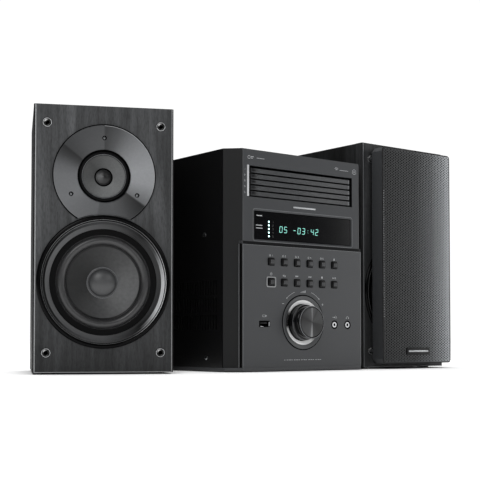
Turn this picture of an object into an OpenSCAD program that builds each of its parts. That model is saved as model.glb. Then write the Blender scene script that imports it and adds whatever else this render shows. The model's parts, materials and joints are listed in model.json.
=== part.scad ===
/* [Main unit] */
// Width of the main unit
unit_w = 230; // [220:1:240]
// Depth of the main unit, front face to rear edge
unit_d = 300; // [280:1:340]
// Height of the main unit from the shelf
unit_h = 273; // [268:1:290]
// Size of the 45 degree cut along each front corner
corner_cut = 17; // [12:1:18]
// Height of the rubber pads under the main unit
pad_h = 1; // [1:0.5:2]
// Height of the moulded plinth
plinth_h = 4.4; // [4:0.2:6]
// How far the lower control panel stands in front of the fascia
panel_proud = 2; // [1.5:0.5:3]
// Height of the top of the control panel above the shelf
panel_top = 159.7; // [156:0.1:164]

/* [Disc changer] */
// Number of disc trays
tray_count = 5; // [5]
// Distance from one tray to the next
tray_pitch = 7.1; // [7:0.1:7.4]
// Height of a tray's front bar
tray_bar_h = 5.6; // [5:0.1:5.8]
// Width of the slot that the trays come out of
slot_w = 173.4; // [170:0.1:176]
// Top edge of the slot
slot_top = 253; // [250:0.1:256]

/* [Controls] */
// Distance between the columns of buttons
button_pitch_x = 21.2; // [20:0.1:22]
// Distance between the two rows of buttons
button_pitch_z = 25.2; // [22:0.1:28]
// Width of a button's hole
button_hole_w = 10.2; // [9:0.1:12]
// Height of a button's hole
button_hole_h = 9.2; // [8:0.1:11]
// How far a button stands in front of the control panel
button_proud = 2.4; // [1.5:0.1:3]
// Radius of the front of the volume knob
knob_r = 20.5; // [18:0.5:21]
// How far the volume knob stands in front of the control panel
knob_proud = 17.3; // [12:0.1:20]

/* [Speakers] */
// Width of a speaker cabinet
spk_w = 160; // [150:1:165]
// Height of a speaker cabinet without its feet
spk_h = 306; // [300:1:312]
// Depth of a speaker, baffle included
spk_d = 176; // [160:1:178]
// Height of a speaker's feet
spk_foot_h = 2; // [1.5:0.5:4]
// Height of the woofer's centre above the shelf
woofer_z = 105.6; // [104:0.1:108]
// Height of the tweeter's centre above the shelf
tweeter_z = 227.7; // [226:0.1:230]
// Outer radius of the woofer's trim ring
woofer_r = 76.5; // [74:0.5:78]
// Outer radius of the tweeter's front plate
tweeter_r = 59; // [56:0.5:60]
// Gap between a cabinet's front and the back of the grille
grille_gap = 6; // [5:0.5:8]
// Depth of the grille's frame
grille_d = 19.2; // [15:0.1:22]

/* [Hidden] */
$fn = 72;

// Places of the three units on the shelf: the main unit's base is centred on the origin
left_place = [-268.4, -110.1, 0];
left_yaw = -26.13;
right_place = [203.4, -131.3, 0];

// Main unit
front_y = -unit_d / 2;
back_y = unit_d / 2;
case_z0 = pad_h + plinth_h;
mitre = tan(22.5);
fold_x = unit_w / 2 - corner_cut;
fold_y = front_y + corner_cut;
fascia_t = 3;
cover_t = 1.2;
cover_y0 = fold_y + 1.3;
rear_y = back_y - 2.4;
panel_front = front_y - panel_proud;
panel_wrap = 3.9;
panel_rib = 1.5;

// Pads, vents and screws of the main unit's case
pad_r = 9;
pad_places = [for (x = [-90, 90], y = [-118, 118]) [x, y]];
vent_rows = [51.8, 73.3, 94.7];
vent_count = 22;
vent_y0 = front_y + 30;
vent_w = 2.2;
vent_h = 18;
vent_pitch = 5.5;
screw_r = 1.5;
side_screws = [[-95, 170], [-99, 17.3], [112, 170], [112, 17.3]];
rear_screws = [[-106, 140], [106, 140], [-106, 60], [106, 60], [-60, 262], [60, 262]];

// Sockets in the rear panel
socket_row_z = 32;
inlet_x = 84;
speaker_socket_xs = [-60, -34];
aerial_x = -92;

// Openings in the fascia
slot_x = -0.9;
slot_h = 38.5;
slot_z0 = slot_top - slot_h;
window_x = 2.1;
window_w = 168;
window_z0 = 160.4;
window_h = 40.2;
hatch_x = 92;
hatch_z0 = 10;
hatch_z1 = 153;

// Controls
button_x0 = -54.6;
button_z_top = 136;
button_travel = 0.8;
cap_gap = 0.8;
knob_x = -2.2;
knob_z = 61.3;
bezel_r = 35;
shaft_r = 3;
usb_x = -65.2;
jack_xs = [51.9, 75];
socket_z = 58.9;
jack_bore_r = 1.8;
board_y = front_y + 13;

// Trays
tray_top_z = slot_top - 2.7;
tray_front = front_y + 1.8;
bar_w = slot_w - 6;
plate_w = 156;
plate_l = 146;
plate_t = 3.2;
disc_r = 60.5;
guide_y0 = front_y + 7;
guide_y1 = 12;

// Speakers
baffle_t = 12;
wall_t = 9;
spk_z0 = spk_foot_h;
spk_z1 = spk_foot_h + spk_h;
woofer_hole_r = 67;
woofer_step_r = 72.4;
woofer_step_d = 7;
tweeter_hole_r = 38;
tweeter_step_r = 47.5;
tweeter_step_d = 4;
peg_xs = [-65, 65];
peg_zs = [24.5, 286.8];
peg_r = 2.4;
peg_bore_r = 2.8;
cone_r = 43.2;
grille_w = 135;
grille_z0 = 7.3;
grille_z1 = 300.7;
grille_wall = 5.1;
cup_z = 150;
cup_w = 47;
cup_h = 33;
plug_r = 2.05;
plug_xs = [-9.5, 9.5];
screw_ring_r = 43.6;
screw_angles = [90, 210, 330];

// A box from its two corners
module block(x, y, z) translate([x[0], y[0], z[0]]) cube([x[1] - x[0], y[1] - y[0], z[1] - z[0]]);

// A plate parallel to the front: its 2D shape is drawn in X and Z, from y0 back to y1
module upright(y0, y1) translate([0, y1, 0]) rotate([90, 0, 0]) linear_extrude(y1 - y0) children();

// A round bar along Y, from y0 back to y1
module bar_y(x, z, r, y0, y1) translate([x, y1, z]) rotate([90, 0, 0]) cylinder(r = r, h = y1 - y0);

// A body of revolution facing the front: points are [radius, distance forward of y]
module turned(x, y, z, points) translate([x, y, z]) rotate([90, 0, 0]) rotate_extrude() polygon(points);

// A rectangle with round corners
module soft_rect(w, h, r) {
    square([w - 2 * r, h], center = true);
    square([w, h - 2 * r], center = true);
    for (x = [-1, 1], y = [-1, 1])
        translate([x * (w / 2 - r), y * (h / 2 - r)]) circle(r);
}

// The front corners of the main unit's outline, grown outwards by g
function plan_points(g) = [
    [-(unit_w / 2 + g), fold_y - g * mitre], [-(fold_x + g * mitre), front_y - g],
    [fold_x + g * mitre, front_y - g], [unit_w / 2 + g, fold_y - g * mitre]
];
function reversed(list) = [for (i = [len(list) - 1 : -1 : 0]) list[i]];
function column_x(i) = button_x0 + i * button_pitch_x;
function row_z(j) = button_z_top - j * button_pitch_z;
function tray_z1(i) = tray_top_z - (i - 1) * tray_pitch;

// ---------------------------------------------------------------- main unit, fixed pieces

module base_plinth() color("#4a4c4e") difference() {
    translate([0, 0, pad_h]) linear_extrude(plinth_h)
        polygon([
            [-unit_w / 2, back_y], [-unit_w / 2, fold_y - panel_proud * sqrt(2)],
            [-(fold_x + panel_proud * mitre), panel_front], [fold_x + panel_proud * mitre, panel_front],
            [unit_w / 2, fold_y - panel_proud * sqrt(2)], [unit_w / 2, back_y]
        ]);
    for (p = pad_places) translate([p[0], p[1], pad_h - 1]) cylinder(r = pad_r, h = 2.2);
    // Air slots under the transformer and the amplifier
    for (i = [-6 : 6], y = [-50, 30])
        block([i * 9 - 2, i * 9 + 2], [y, y + 40], [0, case_z0 + 1]);
}

module unit_feet() color("#151515")
    for (p = pad_places) translate([p[0], p[1], 0]) cylinder(r = pad_r - 0.3, h = pad_h + 1.2);

module cover_side() difference() {
    translate([cover_y0, case_z0 + 0.2]) square([back_y - cover_y0, unit_h - case_z0 - 0.2]);
    for (z = vent_rows, i = [0 : vent_count - 1])
        translate([vent_y0 + i * vent_pitch, z]) square([vent_w, vent_h]);
    for (p = side_screws) translate(p) circle(screw_r + 0.2);
}

module case_cover() color("#101011") {
    for (x = [-unit_w / 2, unit_w / 2 - cover_t])
        translate([x, 0, 0]) rotate([90, 0, 90]) linear_extrude(cover_t) cover_side();
    translate([0, 0, unit_h - cover_t]) linear_extrude(cover_t) difference() {
        translate([-unit_w / 2, fold_y + 0.3]) square([unit_w, back_y - fold_y - 0.3]);
        for (i = [-9 : 9], y = [40, 92]) translate([i * 8 - 1.5, y]) square([3, 40]);
    }
}

module front_fascia() color("#47494b") difference() {
    union() {
        translate([0, 0, case_z0]) linear_extrude(unit_h - case_z0)
            polygon(concat(plan_points(0), reversed(plan_points(-fascia_t))));
        translate([0, 0, unit_h - fascia_t]) linear_extrude(fascia_t) polygon(plan_points(0));
    }
    // Tray slot
    block([slot_x - slot_w / 2, slot_x + slot_w / 2], [front_y - 1, front_y + 9], [slot_z0, slot_top]);
    // Display opening with a sloping edge all round
    upright(front_y - 1, front_y + 9)
        translate([window_x, window_z0 + window_h / 2]) soft_rect(window_w, window_h, 3);
    // Hatch behind the control panel
    block([-hatch_x, hatch_x], [front_y - 1, front_y + 9], [hatch_z0, hatch_z1]);
}

// Outline of the control panel's skin: the front face and a short return along each corner cut
function skin_points() = let (
    f = fold_x + panel_proud * mitre, d = panel_proud / sqrt(2),
    e = [f + panel_wrap, panel_front + panel_wrap]
) [
    [-e[0], e[1]], [-f, panel_front], [f, panel_front], e,
    [e[0] - d, e[1] + d], [fold_x, front_y], [-fold_x, front_y], [d - e[0], e[1] + d]
];

module control_panel() color("#47494b") difference() {
    union() {
        translate([0, 0, case_z0]) linear_extrude(panel_top - case_z0) polygon(skin_points());
        block([0.5 - hatch_x, hatch_x - 0.5], [front_y - 0.2, front_y + panel_rib],
            [hatch_z0 + 0.5, hatch_z1 - 0.5]);
    }
    // Sloping top edge
    rotate([90, 0, 90]) translate([0, 0, -unit_w / 2]) linear_extrude(unit_w)
        polygon([[panel_front - 1, panel_top - 4 - 2], [panel_front, panel_top - 4],
            [front_y, panel_top], [front_y, panel_top + 1], [panel_front - 1, panel_top + 1]]);
    // A groove down each return
    for (s = [-1, 1])
        translate([s * (fold_x + panel_proud * mitre + 2.2), panel_front + 2.2, 0])
            rotate([0, 0, s * 45]) translate([-0.5, -0.8, 0]) cube([1, 1.6, panel_top + 1]);
    for (i = [0 : 5], j = [0, 1]) upright(panel_front - 1, front_y + 5)
        translate([column_x(i), row_z(j)]) soft_rect(button_hole_w, button_hole_h, 0.8);
    bar_y(knob_x, knob_z, bezel_r - 2, panel_front - 1, front_y + 5);
    upright(panel_front - 1, front_y + 5) translate([usb_x, socket_z]) soft_rect(17.2, 8, 0.8);
    for (x = jack_xs) bar_y(x, socket_z, 5.4, panel_front - 1, front_y + 5);
}

module rear_panel() color("#1b1c1d") upright(rear_y, rear_y + cover_t) difference() {
    translate([0, (case_z0 + unit_h) / 2])
        square([unit_w - 2 * cover_t - 0.6, unit_h - case_z0 - cover_t - 1.4], center = true);
    translate([inlet_x, socket_row_z]) square([24.4, 16.4], center = true);
    for (x = speaker_socket_xs) translate([x, socket_row_z]) square([20.4, 14.4], center = true);
    translate([aerial_x, socket_row_z]) circle(5.7);
    for (i = [-10 : 10], z = [150, 200]) translate([i * 9 - 1.5, z]) square([3, 38]);
    for (p = rear_screws) translate(p) circle(screw_r + 0.2);
}

module display_window() color("#08090a") upright(front_y + 0.9, front_y + 3.2)
    translate([window_x, window_z0 + window_h / 2]) soft_rect(window_w - 0.6, window_h - 0.6, 2.7);

module display_module() color("#101a1a") {
    block([-70, 74], [front_y + 4.2, front_y + 9.5], [164, 198]);
    for (x = [-66, 70]) block([x - 2, x + 2], [front_y + 9.5, board_y], [170, 192]);
}

module front_board() color("#1d4a2c") {
    block([-88, 88], [board_y, board_y + 1.6], [13, 204]);
    // A switch behind each button
    for (i = [0 : 5], j = [0, 1]) {
        block([column_x(i) - 3, column_x(i) + 3], [board_y - 3.6, board_y],
            [row_z(j) - 3, row_z(j) + 3]);
    }
    // Volume encoder and its shaft
    bar_y(knob_x, knob_z, 8, board_y - 6, board_y);
    bar_y(knob_x, knob_z, shaft_r, panel_front - knob_proud + 6, board_y);
}

module volume_bezel() color("#5a5c5e") turned(knob_x, panel_front, knob_z, [
    [bezel_r, 0], [bezel_r, 0.6], [bezel_r - 0.8, 1], [28.4, 0.1], [27.8, -0.5], [23.4, -5],
    [23.4, -6.5], [28, -6.5], [31.5, -2.5], [bezel_r - 2.2, -2.5], [bezel_r - 2.2, 0]
]);

module front_sockets() color("#b9bbbd") {
    difference() {
        upright(panel_front, board_y - 0.2) translate([usb_x, socket_z]) soft_rect(16.8, 7.6, 0.6);
        upright(panel_front - 1, board_y - 1.4) translate([usb_x, socket_z]) soft_rect(13.2, 5.2, 0.3);
    }
    block([usb_x - 5.6, usb_x + 5.6], [panel_front + 1.5, board_y - 1], [socket_z + 0.3, socket_z + 2.1]);
    for (x = jack_xs) translate([x, panel_front, socket_z]) rotate([90, 0, 0]) rotate_extrude()
        polygon([
            [jack_bore_r, -1], [2.6, 0], [3.5, 0], [3.7, -0.8], [5.2, -0.8], [5.2, -14],
            [jack_bore_r, -14]
        ]);
}

// A rail along the trays on side s, between the distances x0 and x1 from the slot's middle
module tray_rail(s, x0, x1, z)
    block([slot_x + min(s * x0, s * x1), slot_x + max(s * x0, s * x1)], [guide_y0, guide_y1], z);

// Frame of the disc changer: two side walls with a ledge under each tray, joined above and below
module changer_frame() color("#8d9094") {
    wall_x = plate_w / 2 + 0.6;
    for (s = [-1, 1]) {
        tray_rail(s, wall_x, wall_x + 1.6, [208, 255]);
        for (i = [1 : tray_count]) {
            ledge_z = tray_z1(i) - tray_bar_h;
            tray_rail(s, wall_x - 3, wall_x + 0.5, [ledge_z - 1.1, ledge_z + 0.2]);
        }
        // Leg down to the plinth
        block([s * 84 - 4, s * 84 + 4], [102, 112], [case_z0, 208]);
        block([s * 84 - 4, s * 84 + 4], [-124, -118], [case_z0, 208]);
    }
    block([slot_x - wall_x - 1.6, slot_x + wall_x + 1.6], [guide_y0, guide_y1], [254, 256]);
    block([-92, 92], [guide_y0, 124], [206, 208]);
}

// Drive that reads the disc: chassis, spindle and a sled with the lens
module disc_drive() color("#3a3d42") {
    block([-62, 60], [22, 118], [208, 212]);
    for (x = [-62, 56]) block([x, x + 4], [22, 118], [212, 248]);
    block([-62, 60], [114, 118], [212, 248]);
    translate([slot_x, 66, 212]) cylinder(r = 12, h = 14);
    translate([slot_x, 66, 226]) cylinder(r = 7.3, h = 3);
    block([-18, 16], [84, 104], [212, 222]);
    translate([slot_x, 90, 222]) cylinder(r = 4, h = 2);
}

module main_board() color("#1d4a2c") {
    block([-104, 40], [-110, 98], [16, 17.6]);
    for (x = [-98, 34], y = [-104, 92]) translate([x, y, case_z0]) cylinder(r = 3, h = 10.8);
    // Smoothing capacitors, coils and chips
    for (p = [[14, 44], [14, 72]]) translate([p[0], p[1], 17.5]) cylinder(r = 11, h = 35);
    for (i = [0 : 3]) translate([-92 + i * 18, 20, 17.5]) cylinder(r = 5, h = 12);
    block([-80, -50], [-60, -30], [17.5, 20]);
    block([-30, -16], [-80, -60], [17.5, 20]);
    // Heat sink of the amplifier
    block([-96, -20], [74, 78], [17.5, 60]);
    for (i = [0 : 7]) block([-95 + i * 10.4, -93 + i * 10.4], [77.5, 96], [19, 60]);
}

module power_transformer() color("#6b5a3a") {
    block([52, 106], [30, 100], [case_z0, case_z0 + 3]);
    block([56, 102], [38, 92], [case_z0 + 3, 58]);
    block([50, 56], [48, 82], [14, 52]);
    block([102, 108], [48, 82], [14, 52]);
}

// Two-pin mains inlet
module ac_inlet() color("#161616") {
    difference() {
        union() {
            upright(rear_y - 18, rear_y + 0.5)
                translate([inlet_x, socket_row_z]) square([24, 16], center = true);
            upright(rear_y + cover_t, rear_y + cover_t + 1.2)
                translate([inlet_x, socket_row_z]) soft_rect(28, 20, 2);
            upright(rear_y, rear_y + cover_t + 0.2)
                translate([inlet_x, socket_row_z]) square([24, 16], center = true);
        }
        upright(rear_y - 14, back_y + 5) translate([inlet_x, socket_row_z]) soft_rect(17.6, 10, 4.9);
    }
    for (s = [-1, 1]) bar_y(inlet_x + s * 4.6, socket_row_z, 1.2, rear_y - 15, rear_y - 3);
}

// Aerial socket and the two plug-in speaker sockets
module rear_sockets() color("#d8d8d4") {
    difference() {
        union() {
            bar_y(aerial_x, socket_row_z, 5.5, rear_y - 10, rear_y + cover_t + 6);
            bar_y(aerial_x, socket_row_z, 7.5, rear_y + cover_t, rear_y + cover_t + 1.5);
        }
        bar_y(aerial_x, socket_row_z, 4.2, rear_y - 6, back_y + 10);
    }
    bar_y(aerial_x, socket_row_z, 1.2, rear_y - 8, rear_y + 4);
    for (x = speaker_socket_xs) {
        difference() {
            union() {
                upright(rear_y - 12, rear_y + cover_t + 0.2)
                    translate([x, socket_row_z]) square([20, 14], center = true);
                upright(rear_y + cover_t, rear_y + cover_t + 1)
                    translate([x, socket_row_z]) soft_rect(24, 18, 1.5);
            }
            upright(rear_y - 9, back_y + 5) translate([x, socket_row_z]) square([16, 10], center = true);
        }
        for (s = [-1, 1]) bar_y(x + s * 3.6, socket_row_z, 0.9, rear_y - 10, rear_y - 2);
    }
}

// A panel screw with its head towards the viewer, along Y
module panel_screw(head_y) {
    bar_y(0, 0, 2.9, head_y - 1.6, head_y);
    bar_y(0, 0, screw_r, head_y - 0.2, head_y + 6);
}

module case_screws() color("#1c1c1d") {
    for (p = side_screws, s = [-1, 1])
        translate([s * unit_w / 2, p[0], p[1]]) rotate([0, 0, s * 90]) panel_screw(0);
    for (p = rear_screws)
        translate([p[0], rear_y + cover_t, p[1]]) rotate([0, 0, 180]) panel_screw(0);
}

// ---------------------------------------------------------------- main unit, moving pieces

// Knob: a stepped shell with a hub on the encoder's shaft
module volume_knob() color("#8b8e91") turned(knob_x, panel_front, knob_z, [
    [shaft_r + 0.05, -3.5], [6, -3.5], [6, knob_proud - 7], [knob_r - 3, knob_proud - 7],
    [knob_r - 3, -4], [knob_r + 1.8, -4], [knob_r + 1.8, 5.4], [knob_r + 1.2, 6], [knob_r, 6],
    [knob_r, knob_proud - 1], [knob_r - 1, knob_proud], [0, knob_proud],
    [0, knob_proud - 5.6], [shaft_r + 0.05, knob_proud - 5.6]
]);

// Push button in column i and row j: cap, stem through the panel and a retaining flange
module push_button(i, j) translate([column_x(i), 0, row_z(j)]) {
    upright(panel_front - button_proud, front_y + panel_rib + 0.7)
        soft_rect(button_hole_w - 2 * cap_gap, button_hole_h - 2 * cap_gap, 0.6);
    upright(front_y + panel_rib + 0.4, front_y + panel_rib + 1.4)
        square([button_hole_w + 1.6, button_hole_h + 1.6], center = true);
    bar_y(0, 0, 2, front_y + panel_rib + 1.2, board_y - 3.6 - button_travel - 0.3);
}

module disc_1_button() color("#3b3d3f") push_button(0, 0);
module disc_2_button() color("#3b3d3f") push_button(1, 0);
module disc_3_button() color("#3b3d3f") push_button(2, 0);
module disc_4_button() color("#3b3d3f") push_button(3, 0);
module disc_5_button() color("#3b3d3f") push_button(4, 0);
module eject_button() color("#3b3d3f") push_button(5, 0);
module power_button() color("#3b3d3f") push_button(0, 1);
module function_button() color("#3b3d3f") push_button(1, 1);
module previous_button() color("#3b3d3f") push_button(2, 1);
module next_button() color("#3b3d3f") push_button(3, 1);
module stop_button() color("#3b3d3f") push_button(4, 1);
module play_button() color("#3b3d3f") push_button(5, 1);

// Disc tray i, counted from the top: a ribbed front bar and a plate with a well for the disc
module disc_tray(i) translate([slot_x, 0, tray_z1(i) - tray_bar_h]) difference() {
    union() {
        block([-bar_w / 2, bar_w / 2], [tray_front, tray_front + 3.4], [0, tray_bar_h]);
        block([-plate_w / 2, plate_w / 2], [tray_front + 3, tray_front + plate_l], [0.5, 0.5 + plate_t]);
    }
    // Two fine grooves along the bar
    for (z = [1.9, 3.5])
        block([-bar_w / 2 - 1, bar_w / 2 + 1], [tray_front - 1, tray_front + 0.5], [z, z + 0.4]);
    // Well for the disc, and the window that the spindle and lens come up through
    translate([0, tray_front + 70, 2]) cylinder(r = disc_r, h = 5);
    translate([0, tray_front + 70, -1]) cylinder(r = 17, h = 6);
    block([-17, 17], [tray_front + 70, tray_front + 128], [-1, 6]);
}

module disc_tray_1() color("#505254") disc_tray(1);
module disc_tray_2() color("#505254") disc_tray(2);
module disc_tray_3() color("#505254") disc_tray(3);
module disc_tray_4() color("#505254") disc_tray(4);
module disc_tray_5() color("#505254") disc_tray(5);

// ---------------------------------------------------------------- speakers
// A speaker is drawn with its baffle's front face at y = 0 and its centre line at x = 0.

module at_left() translate(left_place) rotate([0, 0, left_yaw]) children();
module at_right() translate(right_place) children();

module speaker_cabinet() color("#202122") difference() {
    block([-spk_w / 2, spk_w / 2], [baffle_t, spk_d], [spk_z0, spk_z1]);
    block([-spk_w / 2 + wall_t, spk_w / 2 - wall_t], [baffle_t - 1, spk_d - wall_t],
        [spk_z0 + wall_t, spk_z1 - wall_t]);
    block([-26, 26], [spk_d - wall_t - 1, spk_d + 1], [cup_z - 19, cup_z + 19]);
}

module speaker_baffle() color("#2a2b2d") {
    bevel = 1.6;
    difference() {
        block([-spk_w / 2, spk_w / 2], [0, baffle_t], [spk_z0, spk_z1]);
        for (s = [-1, 1]) {
            translate([s * spk_w / 2, 0, spk_z0 - 1]) rotate([0, 0, 45])
                translate([-bevel / sqrt(2), -bevel / sqrt(2), 0])
                    cube([bevel * sqrt(2), bevel * sqrt(2), spk_h + 2]);
        }
        bar_y(0, woofer_z, woofer_hole_r, -1, baffle_t + 1);
        bar_y(0, woofer_z, woofer_step_r, -1, woofer_step_d);
        bar_y(0, tweeter_z, tweeter_hole_r, -1, baffle_t + 1);
        bar_y(0, tweeter_z, tweeter_step_r, -1, tweeter_step_d);
        for (x = peg_xs, z = peg_zs) bar_y(x, z, 4.6, -1, baffle_t + 1);
    }
}

// Trim ring with a funnel that runs back to the cone's surround
module woofer_ring() color("#1e1f20") turned(0, 0, woofer_z, [
    [woofer_r, 0], [woofer_r, 1.3], [woofer_r - 1.2, 2.6], [woofer_r - 3.2, 3], [woofer_r - 4.7, 2.4],
    [woofer_r - 5.7, 1.2], [68.6, -2.6], [65, -6.8], [61.6, -9], [61.6, -10.4],
    [66.5, -10.4], [66.5, -woofer_step_d], [woofer_step_r - 0.4, -woofer_step_d],
    [woofer_step_r - 0.4, 0]
]);

// Basket: flange, windowed cone wall, top plate, magnet ring, back plate and pole
module woofer_basket() color("#6e7173") {
    difference() {
        turned(0, 0, woofer_z, [
            [53.6, -10.7], [66.4, -10.7], [66.4, -baffle_t], [70.4, -baffle_t],
            [70.4, -baffle_t - 2.4], [61, -baffle_t - 2.4], [39.5, -38], [39.5, -44],
            [13.6, -44], [13.6, -40], [36, -40], [36, -38], [57, -13.4], [53.6, -13.4]
        ]);
        for (a = [0 : 60 : 300]) translate([0, 26, woofer_z]) rotate([0, a, 0])
            block([-12, 12], [-8, 8], [40, 62]);
    }
    turned(0, 0, woofer_z, [[20, -44], [37, -44], [37, -56], [20, -56]]);
    turned(0, 0, woofer_z, [[0, -60], [0, -39], [11, -39], [11, -56], [36, -56], [36, -60]]);
}

// Rubber surround: a half roll between the basket's flange and the cone
module woofer_surround() color("#161617") {
    roll_r = 48.5;
    outer = [for (a = [0 : 15 : 180]) [roll_r + 4.9 * cos(a), -10.3 + 4.9 * sin(a)]];
    inner = [for (a = [180 : -15 : 0]) [roll_r + 3.9 * cos(a), -10.6 + 3.9 * sin(a)]];
    turned(0, 0, woofer_z, concat([[60, -10.6], [60, -9.6], [53.6, -9.6]], outer, inner, [[53.8, -10.6]]));
}

// Cone, dust cap and voice coil former
module woofer_cone() color("#2c2d2e") {
    cap = [for (a = [0 : 10 : 60]) [19 * sin(a), -22.2 + 19 * (cos(a) - 0.5)]];
    turned(0, 0, woofer_z, concat([[0, -14.1]], cap, [
        [16.9, -21.6], [30, -16.2], [cone_r - 0.8, -9.9], [cone_r, -9.9], [cone_r, -10.9],
        [30, -17.4], [12.6, -24.6], [12.6, -43], [12, -43], [12, -24], [0, -24]
    ]));
}

// Front plate with a shallow dish, cut round the woofer's ring, and the driver's cup behind it
module tweeter_frame() color("#3d3f41") {
    difference() {
        turned(0, 0, tweeter_z, [
            [tweeter_r, 0], [tweeter_r, 1.8], [tweeter_r - 0.8, 2.6], [31.6, -1.8], [30.2, -3.2],
            [30.2, -20], [0, -20], [0, -34], [26, -34], [26, -22], [33.4, -22],
            [33.4, -tweeter_step_d], [tweeter_step_r - 0.5, -tweeter_step_d], [tweeter_step_r - 0.5, 0]
        ]);
        bar_y(0, woofer_z, woofer_r + 1.5, -5, 0.01);
        for (a = screw_angles)
            bar_y(screw_ring_r * cos(a), tweeter_z + screw_ring_r * sin(a), 2.6, -5, 2);
    }
    for (a = screw_angles)
        translate([screw_ring_r * cos(a), 0, tweeter_z + screw_ring_r * sin(a)]) {
            bar_y(0, 0, 2.3, 0.8, 2);
            bar_y(0, 0, 1.2, 1.8, tweeter_step_d);
        }
}

module tweeter_cone() color("#7c7f82") {
    dome = [for (a = [0 : 15 : 60]) [10.6 * sin(a), -13.4 + 10.6 * (cos(a) - 0.5)]];
    turned(0, 0, tweeter_z, concat([[0, -8.1]], dome, [
        [9.6, -13.2], [24.8, -5.8], [26.4, -4.8], [29.4, -5.4], [29.4, -6.4], [25.6, -6.6],
        [9, -14.6], [7, -18.6], [0, -18.6]
    ]));
}

module grille_sockets() color("#b7b9bb") for (x = peg_xs, z = peg_zs) turned(x, 0, z, [
    [peg_bore_r, 0.6], [3.3, 1], [5, 1], [5.5, 0.5], [5.5, 0], [4.4, 0], [4.4, -11],
    [peg_bore_r, -11]
]);

// Cup in the back of a cabinet with two plug sockets
module terminal_cup() color("#151515") {
    difference() {
        union() {
            upright(spk_d - 15, spk_d + 0.2)
                translate([0, cup_z]) square([cup_w + 4.4, cup_h + 4.4], center = true);
            upright(spk_d, spk_d + 2) translate([0, cup_z]) soft_rect(64, 50, 4);
        }
        upright(spk_d - 13, spk_d + 5) translate([0, cup_z]) square([cup_w, cup_h], center = true);
    }
    for (x = plug_xs) difference() {
        bar_y(x, cup_z, 4.2, spk_d - 14, spk_d - 1);
        bar_y(x, cup_z, plug_r, spk_d - 12.5, spk_d + 1);
    }
}

module speaker_feet() color("#151515") for (x = [-62, 62], y = [22, spk_d - 22])
    translate([x, y, 0]) cylinder(r = 8, h = spk_foot_h);

module left_cabinet() at_left() speaker_cabinet();
module left_baffle() at_left() speaker_baffle();
module left_woofer_basket() at_left() woofer_basket();
module left_woofer_ring() at_left() woofer_ring();
module left_woofer_surround() at_left() woofer_surround();
module left_woofer_cone() at_left() woofer_cone();
module left_tweeter_frame() at_left() tweeter_frame();
module left_tweeter_cone() at_left() tweeter_cone();
module left_grille_sockets() at_left() grille_sockets();
module left_terminal_cup() at_left() terminal_cup();
module left_feet() at_left() speaker_feet();

module right_cabinet() at_right() speaker_cabinet();
module right_baffle() at_right() speaker_baffle();
module right_woofer_basket() at_right() woofer_basket();
module right_woofer_ring() at_right() woofer_ring();
module right_woofer_surround() at_right() woofer_surround();
module right_woofer_cone() at_right() woofer_cone();
module right_tweeter_frame() at_right() tweeter_frame();
module right_tweeter_cone() at_right() tweeter_cone();
module right_grille_sockets() at_right() grille_sockets();
module right_terminal_cup() at_right() terminal_cup();
module right_feet() at_right() speaker_feet();

// Outline of the grille in X and Z, with its corners cut by c
module grille_outline(c) {
    w = grille_w / 2;
    polygon([
        [-w + c, grille_z0], [w - c, grille_z0], [w, grille_z0 + c], [w, grille_z1 - c],
        [w - c, grille_z1], [-w + c, grille_z1], [-w, grille_z1 - c], [-w, grille_z0 + c]
    ]);
}

module grille_frame() color("#2b2c2e") at_right() {
    difference() {
        upright(-grille_gap - grille_d, -grille_gap) grille_outline(6);
        block([-grille_w / 2 + grille_wall, grille_w / 2 - grille_wall],
            [-grille_gap - grille_d - 1, -grille_gap + 1],
            [grille_z0 + grille_wall, grille_z1 - grille_wall]);
    }
    for (x = peg_xs, z = peg_zs) bar_y(x, z, peg_r, -grille_gap - 1, 6);
}

module grille_mesh() color("#3a3b3d") at_right()
    upright(-grille_gap - grille_d - 0.8, -grille_gap - grille_d)
        translate([0, (grille_z0 + grille_z1) / 2]) soft_rect(grille_w, grille_z1 - grille_z0, 5);

// ---------------------------------------------------------------- output

base_plinth();
unit_feet();
case_cover();
front_fascia();
control_panel();
rear_panel();
display_window();
display_module();
front_board();
volume_bezel();
front_sockets();
changer_frame();
disc_drive();
main_board();
power_transformer();
ac_inlet();
rear_sockets();
case_screws();
volume_knob();
disc_1_button();
disc_2_button();
disc_3_button();
disc_4_button();
disc_5_button();
eject_button();
power_button();
function_button();
previous_button();
next_button();
stop_button();
play_button();
disc_tray_1();
disc_tray_2();
disc_tray_3();
disc_tray_4();
disc_tray_5();
left_cabinet();
left_baffle();
left_woofer_basket();
left_woofer_ring();
left_woofer_surround();
left_woofer_cone();
left_tweeter_frame();
left_tweeter_cone();
left_grille_sockets();
left_terminal_cup();
left_feet();
right_cabinet();
right_baffle();
right_woofer_basket();
right_woofer_ring();
right_woofer_surround();
right_woofer_cone();
right_tweeter_frame();
right_tweeter_cone();
right_grille_sockets();
right_terminal_cup();
right_feet();
grille_frame();
grille_mesh();
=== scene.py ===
import json
import math

import bmesh
import bpy
from mathutils import Matrix, Vector


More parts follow.
